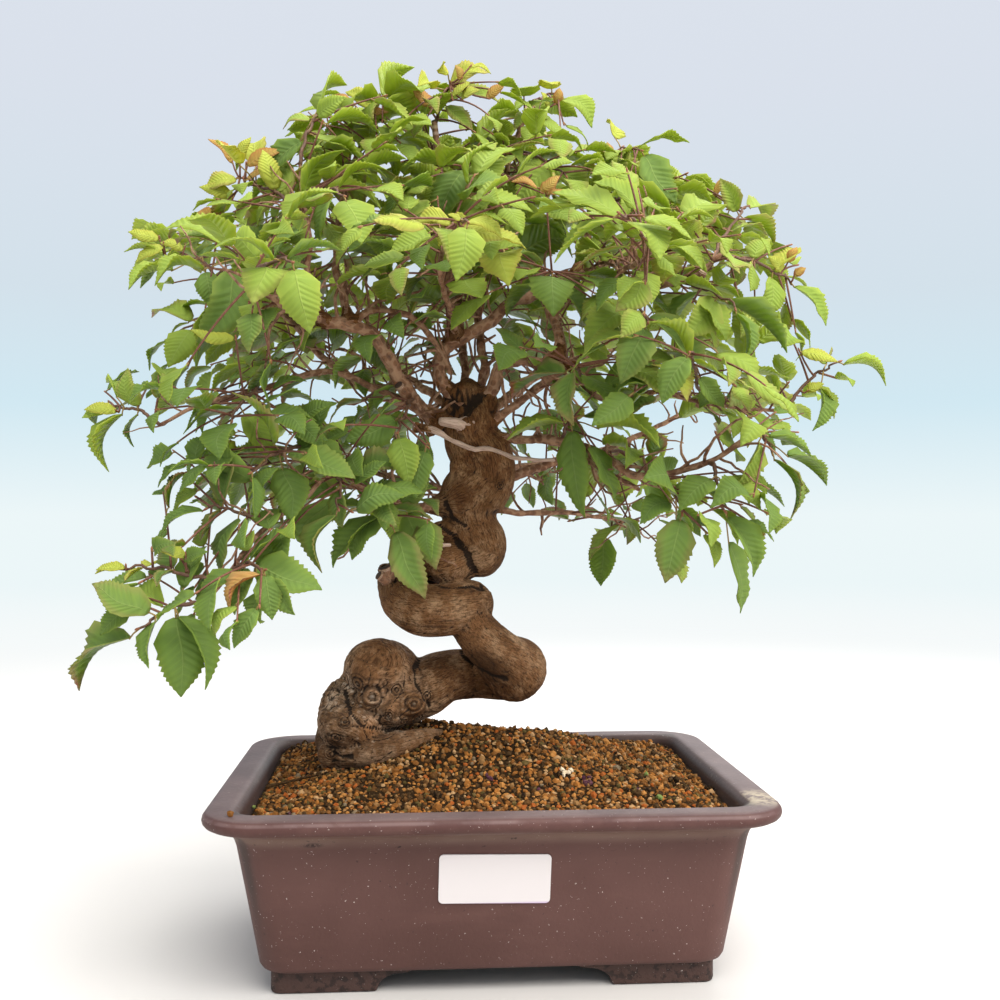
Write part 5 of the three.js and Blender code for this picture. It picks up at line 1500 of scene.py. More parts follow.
def added_leaves(shoot, twig, found, crowd):
    """The leaves of the view that the plain model had no room for."""
    places = leaf_places(shoot, twig)
    for order, row in enumerate(SHOOTS[shoot][5]):
        if any(leaf.row is row for leaf in found):
            continue
        options = (seen_leaf(place, row, shoot * KEYS_PER_SHOOT + order, attempt)
                   for attempt in range(ADDED_TRIES) for place in places)
        leaf = next((leaf for leaf in options if in_room(leaf.tip) and crowd.clear(leaf, ADDED_ROOM)), None)
        if leaf:
            crowd.add(leaf)
            crowd.show(leaf)
            yield leaf


# Room: the outline of the crown in the view, and the windows that let the wood or the sky show
CROWN_OUTLINE = [
    (77, 690), (82, 655), (100, 625), (95, 570), (150, 555), (160, 535), (140, 460), (108, 470),
    (82, 412), (99, 388), (128, 365), (165, 362), (160, 330), (195, 300), (137, 290), (124, 250),
    (160, 225), (197, 190), (210, 140), (262, 150), (281, 125), (315, 94), (345, 93), (375, 110),
    (424, 92), (454, 68), (488, 70), (500, 85), (530, 85), (556, 90), (590, 130), (607, 143),
    (650, 150), (675, 165), (720, 180), (740, 215), (757, 228), (797, 245), (800, 270), (827, 325),
    (800, 345), (845, 357), (886, 385), (850, 390), (833, 418), (805, 440), (818, 490), (790, 520),
    (768, 560), (753, 577), (725, 598), (665, 583), (655, 545), (620, 545), (601, 585), (580, 560),
    (540, 535), (510, 520), (430, 598), (333, 568), (322, 590), (295, 615), (255, 628), (205, 690),
    (181, 697), (150, 668),
]
CLEAR_WINDOWS = [
    # left, top, right, bottom of the view, and the shares of near and of far leaves that may stand there
    (430, 470, 540, 900, 0, 0.3), (340, 590, 620, 900, 0, 0), (400, 400, 505, 470, 0.05, 0.4),
    (290, 270, 590, 400, 0.25, 0.55), (200, 385, 345, 412, 0.3, 0.5), (505, 400, 560, 470, 0.3, 0.3),
    (560, 395, 710, 492, 0.1, 0.1), (230, 430, 300, 480, 0.4, 0.4), (120, 560, 340, 640, 0.5, 0.5),
    (690, 420, 800, 480, 0.4, 0.3), (600, 200, 840, 440, 0.5, 0.4), (90, 240, 300, 460, 0.7, 0.5),
    (300, 200, 600, 400, 0.55, 0.45), (560, 440, 760, 580, 0.55, 0.35),
]
FAR_FROM = 25
SHOWN_REACH = 1.05
BLADE_SAMPLES = [(0.25, 0), (0.5, 0), (0.75, 0), (1, 0), (0.3, 0.7), (0.3, -0.7), (0.6, 0.8), (0.6, -0.8)]
ROOM = {"left": -187, "right": 187, "front": -133, "back": 133, "bottom": 96, "top": 410}


def inside(point, outline):
    x, y = point
    found = False
    for (x0, y0), (x1, y1) in zip(outline, outline[1:] + outline[:1]):
        if (y0 > y) != (y1 > y) and x < x0 + (y - y0) * (x1 - x0) / (y1 - y0):
            found = not found
    return found


class Crowd:
    """Where leaves already are, so that no new one grows through them."""

    def __init__(self, cell):
        self.cell = cell
        self.places = {}
        self.shown = []

    def cell_of(self, point):
        return tuple(int(part // self.cell) for part in point)

    def add(self, leaf):
        for point in self.samples(leaf):
            self.places.setdefault(self.cell_of(point), []).append(point)

    @staticmethod
    def samples(leaf):
        return [leaf.point(t, side) for t, side in BLADE_SAMPLES]

    def show(self, leaf):
        """Keeps the view of a leaf free of later ones."""
        x0, y0 = view_of(leaf.point(leaf.stalk))
        x1, y1 = view_of(leaf.tip)
        self.shown.append(((x0 + x1) / 2, (y0 + y1) / 2, (x1 - x0) / 2, (y1 - y0) / 2, leaf.point(0.6).y,
                           leaf.width * SHOWN_REACH))

    def hides(self, leaf):
        """Whether a leaf stands before one that is kept free."""
        points = (leaf.point(0.35), leaf.point(0.65), leaf.tip, leaf.point(0.5, 0.8), leaf.point(0.5, -0.8))
        spots = [(view_of(point), point.y) for point in points]
        for middle_x, middle_y, along_x, along_y, depth, half in self.shown:
            reach = along_x * along_x + along_y * along_y
            for (x, y), near in spots:
                if near > depth:
                    continue
                out_x, out_y = x - middle_x, y - middle_y
                along = (out_x * along_x + out_y * along_y) / reach
                across = (out_y * along_x - out_x * along_y) / reach ** 0.5 / half
                if along * along + across * across < 1:
                    return True
        return False

    def clear(self, leaf, room):
        for point in self.samples(leaf):
            home = self.cell_of(point)
            for shift in product((-1, 0, 1), repeat=3):
                cell = tuple(part + step for part, step in zip(home, shift))
                if any((other - point).length < room for other in self.places.get(cell, ())):
                    return False
        return True


def in_room(point):
    return (ROOM["left"] < point.x < ROOM["right"] and ROOM["front"] < point.y < ROOM["back"]
            and ROOM["bottom"] < point.z < ROOM["top"])


def fits_crown(leaf, key):
    for point in (leaf.point(0.55, 1), leaf.point(0.55, -1), leaf.tip):
        if not in_room(point) or not inside(view_of(point), CROWN_OUTLINE):
            return False
    x, y = view_of(leaf.point(0.55))
    for left, top, right, bottom, near, far in CLEAR_WINDOWS:
        share = near if leaf.root.y < FAR_FROM else far
        if left < x < right and top < y < bottom and draw(850, key) >= share:
            return False
    return True


# Growth: side twigs and young tips, and what grows straight from the limbs
YOUNG_TIPS = [
    # a small young leaf: its root and its tip in the view, its depth, width and tone
    (233, 164, 208, 139, -10, 6, 0.93), (240, 160, 251, 137, -12, 5, 0.88),
    (246, 166, 283, 150, -14, 7, 0.91), (234, 196, 199, 187, -10, 7, 0.82),
    (244, 181, 277, 170, -12, 5, 0.9), (352, 108, 331, 96, 8, 6, 0.96),
    (361, 121, 389, 112, 6, 6, 0.99), (432, 107, 413, 91, -4, 7, 0.98), (460, 80, 455, 65, -6, 4, 0.9),
    (469, 68, 491, 74, -6, 4, 0.86), (452, 97, 471, 82, -5, 5, 0.84), (461, 99, 480, 90, -6, 6, 0.82),
    (486, 98, 505, 84, -5, 5, 0.92), (556, 104, 560, 88, 28, 6, 0.92), (548, 108, 541, 92, 28, 5, 0.88),
    (612, 160, 607, 142, 22, 6, 0.94), (600, 150, 592, 144, 22, 5, 0.86),
    (716, 196, 720, 179, 20, 4, 0.9), (788, 262, 797, 247, -14, 5, 0.94),
    (782, 272, 768, 256, -14, 7, 0.88), (794, 276, 806, 268, -14, 5, 0.92),
    (160, 240, 128, 232, -14, 7, 0.8), (164, 246, 136, 262, -16, 8, 0.78),
    (184, 250, 160, 243, -14, 6, 0.84), (220, 216, 196, 214, -16, 6, 0.93),
    (446, 230, 415, 221, -100, 8, 0.86), (456, 224, 462, 212, -104, 6, 0.88),
    (462, 226, 504, 240, -106, 9, 0.87), (452, 236, 438, 246, -102, 7, 0.84),
    (538, 188, 511, 182, -40, 5, 0.97), (540, 192, 560, 176, -42, 6, 0.9),
    (546, 194, 572, 196, -42, 6, 0.93), (236, 340, 190, 330, -50, 6, 0.8),
    (118, 412, 84, 410, -16, 7, 0.82), (126, 568, 96, 570, -76, 6, 0.8),
    (186, 556, 156, 548, -78, 7, 0.82), (800, 352, 838, 362, -24, 7, 0.8),
    (806, 392, 824, 384, -24, 6, 0.82), (655, 214, 664, 196, 0, 7, 0.76),
]
YOUNG_STALK = 0.04
YOUNG_KEYS_FROM = 50000
SIDE_TWIG = {"shares": (0.12, 0.3, 0.48, 0.66, 0.82, 0.94), "length": (18, 42), "radius": 0.55, "steps": 7,
             "leaves": 5, "leaf_size": 0.9, "tries": 4}
CROWD_CELL = 8
ROOM_BETWEEN = 3.5
MAIN_TWIG_STEPS = 16
INNER = {"pace": 15, "from_share": 0.35, "length": (14, 48), "leaf": 25, "keys_from": 9000,
         "turn_keys": 4096}
TOP_FROM = 285
TOP_TURNS = 3


class Spray:
    """What grows on one shoot: its leaves, and its twigs as lists of stations."""

    def __init__(self):
        self.twigs = []
        self.leaves = []


def bowed(start, way, length, droop):
    """Places along a thin twig that sets out one way and bows with its weight."""
    places = [start]
    heading = way.normalized()
    steps = SIDE_TWIG["steps"]
    for _ in range(steps):
        heading = (heading - UP * droop / steps).normalized()
        places.append(places[-1] + heading * length / steps)
    return places


def side_growth(spray, crowd, start, way, length, key, facing, size):
    """A side twig with alternate leaves, where there is room for them."""
    places = bowed(start, way, length, between((0.1, 0.6), 801, key))
    grown = []
    for i in range(SIDE_TWIG["leaves"]):
        at = len(places) - 1 - round(i * (len(places) - 2) / SIDE_TWIG["leaves"])
        root = places[at]
        ahead = (places[at] - places[at - 1]).normalized()
        normal = level_with(facing + drawn_vector(0.3, 802, key, i), ahead)
        left = normal.cross(ahead)
        side = 0 if i == 0 else (1 if (i + key) % 2 else -1)
        for attempt in range(SIDE_TWIG["tries"]):
            opening = between((0.5, 1.15), 806, key, i, attempt) * side
            out = ahead * math.cos(opening) + left * math.sin(opening)
            out -= UP * between((0.05, 0.75), 807, key, i, attempt)
            out += normal * within(0.25, 808, key, i, attempt)
            reach = size * between((0.6, 1.15), 809, key, i, attempt)
            leaf = Leaf(root, root + out.normalized() * reach, normal * 0.7 + facing * 0.6,
                        reach * between((0.5, 0.64), 810, key, i), key * 8 + i)
            if fits_crown(leaf, key * 8 + i) and crowd.clear(leaf, ROOM_BETWEEN) and not crowd.hides(leaf):
                crowd.add(leaf)
                grown.append((at, leaf))
                break
    if grown:
        last = max(at for at, _ in grown)
        radius = SIDE_TWIG["radius"]
        spray.twigs.append([(places[i], radius * (1 - 0.4 * i / len(places))) for i in range(last + 1)])
        spray.leaves += [leaf for _, leaf in grown]


def add_young_tips(twigs, sprays):
    """Small new leaves at the ends, each on a thin red stalk from the nearest twig."""
    places = [(twig.place(t / 12), shoot) for shoot, twig in enumerate(twigs) for t in range(3, 13)]
    for number, (root_x, root_y, tip_x, tip_y, depth, width, tone) in enumerate(YOUNG_TIPS):
        root, tip = seen(root_x, root_y, depth), seen(tip_x, tip_y, depth - 2)
        near, shoot = min(places, key=lambda option: (option[0] - root).length)
        facing = Vector((within(0.5, 860, number), -0.9, between((0.1, 0.9), 861, number)))
        leaf = Leaf(root, tip, facing, width, YOUNG_KEYS_FROM + number)
        leaf.stalk = YOUNG_STALK
        leaf.tone = tone
        sprays[shoot].leaves.append(leaf)
        middle = near.lerp(root, 0.5) - UP * 1.5
        stalk = [(near, 0.55), (near.lerp(middle, 0.6), 0.5), (middle.lerp(root, 0.4), 0.45), (root, 0.4)]
        sprays[shoot].twigs.append(stalk)


def twig_stations(shoot, twig):
    """Stations of a shoot's twig, which bends a little at each bud."""
    stations = []
    for step in range(MAIN_TWIG_STEPS + 1):
        share = step / MAIN_TWIG_STEPS
        kink = drawn_vector(1.0, 816, shoot, step // 2) * (1 < step < MAIN_TWIG_STEPS)
        stations.append((twig.place(share) + kink, 1.0 - 0.5 * share))
    return stations


def grown_sides(shoot, twig, spray, crowd):
    """The side twigs of a shoot, and their leaves."""
    size = SHOOTS[shoot][4] * SIDE_TWIG["leaf_size"]
    for i, share in enumerate(SIDE_TWIG["shares"]):
        place, ahead, normal, left = twig.frame(share)
        for side in (1, -1):
            key = shoot * KEYS_PER_SHOOT + i * 2 + (side > 0)
            way = ahead * between((0.1, 0.9), 811, key) + left * side * between((0.5, 1.1), 812, key)
            way += normal * within(0.5, 813, key)
            length = between(SIDE_TWIG["length"], 814, key)
            side_growth(spray, crowd, place, way, length, key, outward_and_up(place), size)


def inner_growth(crowd):
    """What grows straight from the limbs, more of it near the top."""
    inner = Spray()
    for number, name in enumerate(LIMBS):
        if name in DEAD_WOOD:
            continue
        way = limb_way(name)
        count = int(sum((b - a).length for a, b in zip(way, way[1:])) / INNER["pace"])
        for i in range(count):
            share = INNER["from_share"] + (1 - INNER["from_share"]) * (i + 0.5) / count
            place = way_point(way, share)
            outward = outward_and_up(place)
            for turn in range(TOP_TURNS if place.z > TOP_FROM else 1):
                key = INNER["keys_from"] + number * KEYS_PER_SHOOT + i + turn * INNER["turn_keys"]
                heading = outward * 0.5 + drawn_vector(1, 820, key)
                length = between(INNER["length"], 824, key)
                side_growth(inner, crowd, place, heading, length, key, outward, INNER["leaf"] + 3 * turn)
    return inner


def grow_crown():
    """The spray of each shoot, and one more for what grows straight from the limbs."""
    crowd = Crowd(CROWD_CELL)
    twigs = []
    sprays = []
    for shoot in range(len(SHOOTS)):
        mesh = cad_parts[f"spray_{shoot + 1:02d}"].data
        corners = tree_of([v.co / MM for v in mesh.vertices])
        twig = found_twig(shoot, corners)
        spray = Spray()
        spray.leaves = found_leaves(shoot, twig, corners)
        spray.twigs.append(twig_stations(shoot, twig))
        for leaf in spray.leaves:
            crowd.add(leaf)
            if leaf.row is not None:
                crowd.show(leaf)
        sprays.append(spray)
        twigs.append(twig)
    for shoot, (twig, spray) in enumerate(zip(twigs, sprays)):
        spray.leaves += list(added_leaves(shoot, twig, spray.leaves, crowd))
    for shoot, (twig, spray) in enumerate(zip(twigs, sprays)):
        grown_sides(shoot, twig, spray, crowd)
    add_young_tips(twigs, sprays)
    return [*sprays, inner_growth(crowd)]


# Leaf blades: rows run out along the side veins from the rib to the teeth
LEAF_ROWS = 20
PLACED_COLUMNS = 4
GROWN_COLUMNS = 2
LEAF_OUTLINE = [
    # the half width, evenly from the base to the tip
    0.08, 0.42, 0.66, 0.81, 0.91, 0.97, 1.0, 1.0, 0.985, 0.95, 0.90, 0.84, 0.76, 0.67, 0.56, 0.43, 0.29,
    0.14, 0.02,
]
VEIN_SLANT = 0.75
BASE_LOBE = 0.5
LOBE_REACH = 0.16
TOOTH = 0.055
PLEAT = 0.018
RIPPLES = 1.6
SCORCHED_SHARE = 0.3
LEAF_THICKNESS = 0.3
VEINS = 10
LEAF_MARKS = ("tone", "scorch")
LEAF_KINDS = {
    # the tones it spans, its darkest, middle and lightest colour, what shines through it, its margin, and
    # the least roughness and the specular level of its upper face
    "mature": {
        "tones": (0.04, 0.52), "through": (0.35, 0.49, 0.025), "margin": (0.40, 0.48, 0.05),
        "colours": ((0.040, 0.096, 0.009), (0.120, 0.220, 0.018), (0.226, 0.334, 0.029)),
        "gloss": (0.29, 1.0),
    },
    "light": {
        "tones": (0.52, 0.74), "through": (0.48, 0.58, 0.025), "margin": (0.56, 0.60, 0.07),
        "colours": ((0.175, 0.285, 0.020), (0.300, 0.410, 0.028), (0.420, 0.520, 0.044)),
        "gloss": (0.32, 0.9),
    },
    "young": {
        "tones": (0.74, 0.9), "through": (0.60, 0.60, 0.04), "margin": (0.68, 0.50, 0.08),
        "colours": ((0.400, 0.480, 0.030), (0.540, 0.570, 0.045), (0.660, 0.620, 0.080)),
        "gloss": (0.38, 0.45),
    },
    "bronze": {
        "tones": (0.9, 1.0), "through": (0.70, 0.36, 0.06), "margin": (0.50, 0.13, 0.06),
        "colours": ((0.560, 0.400, 0.060), (0.680, 0.340, 0.070), (0.700, 0.260, 0.110)),
        "gloss": (0.38, 0.45),
    },
}
# What is known of single leaves, under the point of the view at their root
SHOWN = {
    # the share of its width that a leaf shows, where it is closed along its rib
    (836, 363): 0.48, (815, 376): 0.55, (822, 372): 0.5, (784, 286): 0.6, (735, 302): 0.48,
    (762, 456): 0.48, (770, 455): 0.42, (764, 446): 0.5, (750, 440): 0.55, (720, 503): 0.55,
    (725, 305): 0.6, (700, 300): 0.5, (134, 631): 0.5, (180, 616): 0.55, (184, 597): 0.6,
    (234, 559): 0.4, (198, 612): 0.5, (185, 562): 0.5, (147, 564): 0.5, (114, 569): 0.5,
    (203, 480): 0.6, (229, 480): 0.55, (158, 421): 0.6, (124, 418): 0.5, (129, 412): 0.6,
    (172, 262): 0.5, (184, 263): 0.5, (205, 266): 0.55, (262, 402): 0.5, (330, 197): 0.55,
    (448, 92): 0.6, (564, 424): 0.5, (562, 426): 0.6, (571, 368): 0.75, (562, 366): 0.6,
    (548, 276): 0.5, (300, 460): 0.5, (270, 466): 0.5, (369, 516): 0.6, (336, 511): 0.6,
    (389, 514): 0.45, (795, 392): 0.55,
}
TONES = {
    # from 0 for the darkest green to 1 for bronze
    (564, 424): 0.66, (571, 368): 0.4, (568, 434): 0.36, (639, 322): 0.3, (392, 526): 0.32,
    (389, 514): 0.36, (234, 559): 1, (193, 545): 0.84, (240, 280): 0.2, (262, 272): 0.45,
    (330, 197): 0.7, (312, 122): 0.72, (306, 150): 0.12, (470, 174): 0.28, (636, 158): 0.34,
    (392, 408): 0.3, (338, 481): 0.38, (450, 230): 0.84, (462, 224): 0.82, (460, 226): 0.86,
    (836, 363): 0.62, (725, 305): 0.38, (735, 302): 0.46, (784, 286): 0.55, (790, 282): 0.8,
    (448, 92): 0.8, (452, 86): 0.86, (450, 84): 0.82, (552, 100): 0.86, (620, 158): 0.84,
    (546, 280): 0.36, (380, 112): 0.86, (316, 115): 0.7, (236, 190): 0.78, (240, 181): 0.88,
    (243, 178): 0.86, (252, 190): 0.8, (134, 631): 0.36, (200, 613): 0.3, (180, 616): 0.36,
    (184, 597): 0.6, (264, 554): 0.44, (255, 580): 0.3, (267, 580): 0.34, (203, 480): 0.28,
    (229, 480): 0.26, (147, 564): 0.78, (114, 569): 0.84, (185, 562): 0.34, (198, 612): 0.4,
    (158, 421): 0.34, (129, 412): 0.6, (111, 412): 0.66, (124, 418): 0.6, (150, 416): 0.58,
    (815, 376): 0.66, (822, 372): 0.68, (795, 392): 0.5, (762, 456): 0.44, (770, 455): 0.4,
    (764, 446): 0.46, (720, 503): 0.44, (712, 508): 0.46, (681, 503): 0.36, (680, 512): 0.3,
    (605, 526): 0.42, (172, 262): 0.7, (184, 263): 0.66, (205, 266): 0.6, (225, 275): 0.34,
    (650, 326): 0.5, (694, 372): 0.48, (700, 300): 0.4, (562, 426): 0.6, (336, 511): 0.34,
    (376, 520): 0.3, (369, 516): 0.34, (300, 460): 0.3, (270, 466): 0.34,
}
SCORCHED = {
    # how far its margin is burnt
    (234, 559): 1, (571, 368): 1, (562, 366): 1, (389, 514): 0.8, (392, 526): 0.8,
}


def folding(leaf):
    """How far the two halves close, and how far the leaf is rolled about its rib."""
    if leaf.name in SHOWN:
        to_eye = VIEW_EYE - leaf.root
        sign = 1 if leaf.across.dot(to_eye) * leaf.normal.dot(to_eye) > 0 else -1
        closing = math.acos(SHOWN[leaf.name])
        return closing * 0.75, closing * 0.65 * sign
    return between((0.1, 0.6), 830, leaf.key), within(0.5 if leaf.row is not None else 0.3, 837, leaf.key)


def blade_rows(half, length):
    """The half width of each row of a blade, and how far the row slants towards the tip."""
    rows = []
    for row in range(LEAF_ROWS + 1):
        t = row / LEAF_ROWS
        slant = BASE_LOBE * (2 * t / LOBE_REACH - 1) if t < LOBE_REACH else VEIN_SLANT
        slant *= 1 - t ** 4
        share = t
        for _ in range(4):
            share = t + max(slant, 0) * value_at(LEAF_OUTLINE, share) * half / length
        rows.append((value_at(LEAF_OUTLINE, min(share, 1)) * half, slant))
    return rows


def blade(bm, leaf, uv, marks):
    """One blade, from its stalk to its tip. marks are its tone and how scorched it is."""
    columns = GROWN_COLUMNS if leaf.row is None else PLACED_COLUMNS
    verts = bmesh.ops.create_grid(bm, x_segments=columns, y_segments=LEAF_ROWS, size=1)["verts"]
    key = leaf.key
    length = leaf.length * (1 - leaf.stalk)
    base = leaf.root + leaf.along * leaf.length * leaf.stalk
    half = leaf.width / 2
    fold, roll = folding(leaf)
    arch = between((0.03, 0.24), 831, key) * length
    wave = between((0.03, 0.16), 832, key) * half
    phase = 6.28 * draw(833, key)
    lean = within(0.13, 834, key) * length
    twist = within(0.35, 835, key)
    droop = between((0.0, 0.5), 836, key)
    layers = [bm.verts.layers.float[name] for name in LEAF_MARKS]
    rows = blade_rows(half, length)
    for v in verts:
        u = v.co.x
        t = (v.co.y + 1) / 2
        row = round(t * LEAF_ROWS)
        reach = abs(u)
        out, slant = rows[row]
        if reach > 0.9:
            out *= 1 + (TOOTH if row % 2 else -TOOTH)
        along = t * length + slant * reach * out
        share = min(1, max(0, along / length))
        bend = math.sin(math.pi * share)
        pleat = PLEAT * half * (1 if row % 2 else -1) * (0.4 + reach) * bend
        swing = 2 * math.pi * RIPPLES * t + phase + (1.3 if u > 0 else 0)
        ripple = wave * reach ** 2 * math.sin(swing) * bend
        lift = math.sin(fold) * reach * out - droop * reach ** 3 * out * 0.6
        lift += arch * bend + pleat + ripple + twist * u * out * (share - 0.5)
        aside = math.cos(fold) * u * out + lean * bend * bend
        v.co = (base + leaf.along * along + leaf.across * (aside * math.cos(roll) - lift * math.sin(roll))
                + leaf.normal * (aside * math.sin(roll) + lift * math.cos(roll)))
        for layer, mark in zip(layers, marks):
            v[layer] = mark
        for loop in v.link_loops:
            loop[uv].uv = ((u + 1) / 2, t)


def tone_of(leaf):
    """0 is the darkest green and 1 is bronze. Young leaves stand at the top and at the tips. Other leaves
    are lighter towards the top, the right and the outside of the crown, as painted light from above and
    from the right, and darker deep inside it as painted shade.
    """
    if leaf.tone is not None:
        return leaf.tone
    if leaf.name in TONES:
        return TONES[leaf.name]
    place = leaf.point(0.6)
    high = (place.z - 250) / 160
    outward = Vector((place.x / 190, place.y / 136, (place.z - 250) / 160)).length
    # Painted light: lighter with height, towards the right and outwards. Painted shade: darker deep inside
    # the crown.
    tone = 0.35 - 0.16 * max(0, 0.6 - outward) + 0.56 * max(0, high) + 0.34 * max(0, place.x / 190)
    tone += (0.18 if high > -0.2 else 0.04) * max(0, outward - 0.5) + within(0.22, 840, leaf.key)
    if high > 0 and draw(841, leaf.key) < 0.01 + 0.08 * max(0, outward - 0.7):
        return between((0.76, 0.86), 842, leaf.key)
    return min(max(tone, 0.06), 0.73)


def scorch_of(leaf):
    drawn = draw(844, leaf.key) if draw(845, leaf.key) < SCORCHED_SHARE else 0
    return SCORCHED.get(leaf.name, drawn)


def leaves(sprays):
    """The blades of each spray, each kind with a finish for its upper and one for its under face."""
    finishes = [leaf_finish(kind, side) for side in ("upper", "under") for kind in LEAF_KINDS]
    for number, spray in enumerate(sprays, 1):
        bm = bmesh.new()
        uv = bm.loops.layers.uv.new("blade")
        for name in LEAF_MARKS:
            bm.verts.layers.float.new(name)
        for leaf in spray.leaves:
            before = len(bm.faces)
            tone = tone_of(leaf)
            blade(bm, leaf, uv, (tone, scorch_of(leaf)))
            bm.faces.ensure_lookup_table()
            kind = sum(tone >= traits["tones"][0] for traits in LEAF_KINDS.values()) - 1
            for face in bm.faces[before:]:
                face.material_index = kind
        if number > len(SHOOTS):
            piece = finished("leaves_inner", bm, finishes, "foliage")
        else:
            piece = finished(f"leaves_{number:02d}", bm, finishes, "foliage", f"spray_{number:02d}")
        sheet = piece.modifiers.new("thickness", "SOLIDIFY")
        sheet.thickness = LEAF_THICKNESS * MM
        sheet.offset = 0
        sheet.material_offset = len(LEAF_KINDS)
        sheet.material_offset_rim = len(LEAF_KINDS)


def leaf_finish(kind, side):
    leaf = Finish(f"leaf_{kind}_{side}")
    traits = LEAF_KINDS[kind]
    dark, middle, bright = traits["colours"]
    u, v, _ = leaf.parts(leaf.node("ShaderNodeUVMap", {"uv_map": "blade"}))
    place = leaf.object_place()
    tone = leaf.attribute("tone")
    scorch = leaf.attribute("scorch")
    least, most = traits["tones"]
    share = (tone - least) / (most - least)
    # The tone holds the leaf's own colour together with painted light and shade from its place in the
    # crown.
    colour = leaf.ramp(share, [(0.0, dark), (0.5, middle), (1.0, bright)])
    from_rib = abs(u - 0.5) * 2
    mottle = leaf.grain(place, 130, 4, 0.6)
    colour = leaf.blend(mottle.rise(0.35, 0.7) * 0.35, colour, bright)
    between_veins = (v * (VEINS * 2 * math.pi)).math("COSINE") * 0.5 + 0.5
    colour = leaf.blend((1 - from_rib.rise(0.15, 0.8)) * 0.42, colour, dark)
    colour = leaf.blend(from_rib.rise(0.45, 1.0) * 0.6, colour, bright)
    colour = leaf.blend(between_veins.rise(0.90, 1.0) * 0.44, colour, bright)
    colour = leaf.blend((1 - between_veins.rise(0.0, 0.5)) * 0.20, colour, dark)
    rib = 1 - from_rib.rise(0.01, 0.06)
    pale = tuple(0.55 * part + 0.45 * other for part, other in zip(bright, (0.42, 0.48, 0.16)))
    colour = leaf.blend(rib * 0.75, colour, pale)
    margin = from_rib.rise(0.74, 1.0)
    colour = leaf.blend(margin * 0.75, colour, traits["margin"])
    burnt = scorch * (from_rib.rise(0.45, 0.9) + v.rise(0.66, 0.95))
    burnt *= leaf.grain(place, 160, 4, 0.6).rise(0.25, 0.5)
    burnt = burnt.math("MINIMUM", 1.0)
    colour = leaf.blend(burnt, colour, (0.26, 0.085, 0.035))
    spots = leaf.grain(place, 700, 2)
    colour = leaf.blend(spots.rise(0.70, 0.76) * 0.6, colour, (0.20, 0.10, 0.04))
    if side == "under":
        paled = tuple(0.5 * part + 0.5 * other for part, other in zip(middle, (0.30, 0.38, 0.16)))
        colour = leaf.blend(0.55, colour, paled)
    height = between_veins * -0.8 + rib * (0.9 if side == "under" else -0.9) + mottle * 0.35
    normal = leaf.raised(height, 0.55, 0.0006)
    rough, level = (0.66, 0.2) if side == "under" else traits["gloss"]
    shine = leaf.surface(colour, rough + mottle * 0.16, normal, Specular_IOR_Level=level)
    glow = leaf.node("ShaderNodeBsdfTranslucent", {}, {"Color": (*traits["through"], 1)})
    through = (from_rib * 0.18 + 0.24) * (1 - burnt * 0.85)
    return leaf.done(leaf.node("ShaderNodeMixShader", {}, {0: through, 1: shine, 2: glow}))


# Twigs: the shoots' thin wood, the leaf stalks and the buds
STALK_RADIUS = 0.36
TWIG_SIDES = 6
STALK_SIDES = 5
BUD = {"ahead": 0.9, "length": 1.6, "width": 1.2}
# the age that tells the finish which wood it is
AGES = {"main": 0.0, "side": 0.45, "bud": 0.7, "stalk": 1.0}


def twig_part(stations, sides, age_value, budded):
    bm = bmesh.new()
    age = bm.verts.layers.float.new("age")
    tube(bm, stations, sides)
    for v in bm.verts:
        v[age] = age_value
    if budded:
        place, radius = stations[-1]
        ahead = (place - stations[-2][0]).normalized()
        bud = Matrix.LocRotScale(place + ahead * BUD["ahead"], UP.rotation_difference(ahead),
                                 Vector((radius * BUD["width"], radius * BUD["width"], BUD["length"])))
        for v in bmesh.ops.create_icosphere(bm, subdivisions=1, radius=1, matrix=bud)["verts"]:
            v[age] = AGES["bud"]
    turned_out(bm)
    return bm


def twigs(sprays):
    bm = bmesh.new()
    bm.verts.layers.float.new("age")
    for spray in sprays:
        for number, stations in enumerate(spray.twigs):
            taken_in(bm, twig_part(stations, TWIG_SIDES, AGES["side" if number else "main"], True))
        for leaf in spray.leaves:
            base = leaf.root + leaf.along * leaf.length * (leaf.stalk + 0.015)
            bend = (leaf.root + base) / 2 + leaf.normal * leaf.length * 0.012
            stalk = [(leaf.root, STALK_RADIUS * 1.3), (bend, STALK_RADIUS * 0.9), (base, STALK_RADIUS)]
            taken_in(bm, twig_part(stalk, STALK_SIDES, AGES["stalk"], False))
    return finished("twigs", bm, [twig_finish()], "foliage")


def twig_finish():
    bark = Finish("twig_bark")
    place = bark.object_place()
    age = bark.attribute("age")
    colour = bark.ramp(age, [(AGES["main"], (0.110, 0.048, 0.024)), (AGES["side"], (0.150, 0.050, 0.024)),
                             (AGES["bud"], (0.26, 0.09, 0.035)), (AGES["stalk"], (0.26, 0.17, 0.04))])
    specks = bark.grain(place, 500, 3, 0.6)
    colour = bark.blend(specks.rise(0.5, 0.7) * 0.4, colour, (0.30, 0.17, 0.10))
    colour = bark.blend((1 - specks.rise(0.3, 0.45)) * 0.4, colour, (0.05, 0.025, 0.018))
    normal = bark.raised(specks, 0.4, 0.0003)
    return bark.done(bark.surface(colour, 0.55 + specks * 0.2, normal))


# Floor, air, light and camera: places are in metres
FLOOR_REACH = 40
HORIZON = (0.84, 0.925, 0.94)
NEAR_AIR = (0.935, 0.960, 0.960)
LIGHTS_FACE = Vector((0, 0, 0.2))
LIGHTS = [
    # name, place, size, energy, colour
    ("key", (0.25, -1.35, 1.95), 1.3, 44, (1.0, 0.985, 0.95)),
    ("fill", (1.7, -0.8, 1.3), 1.4, 40, (1.0, 0.98, 0.95)),
    ("top", (0.0, 0.3, 1.9), 1.3, 24, (1.0, 0.99, 0.97)),
    ("back", (0.5, 1.4, 1.3), 1.2, 16, (1.0, 0.99, 0.96)),
]
SENSOR = 36


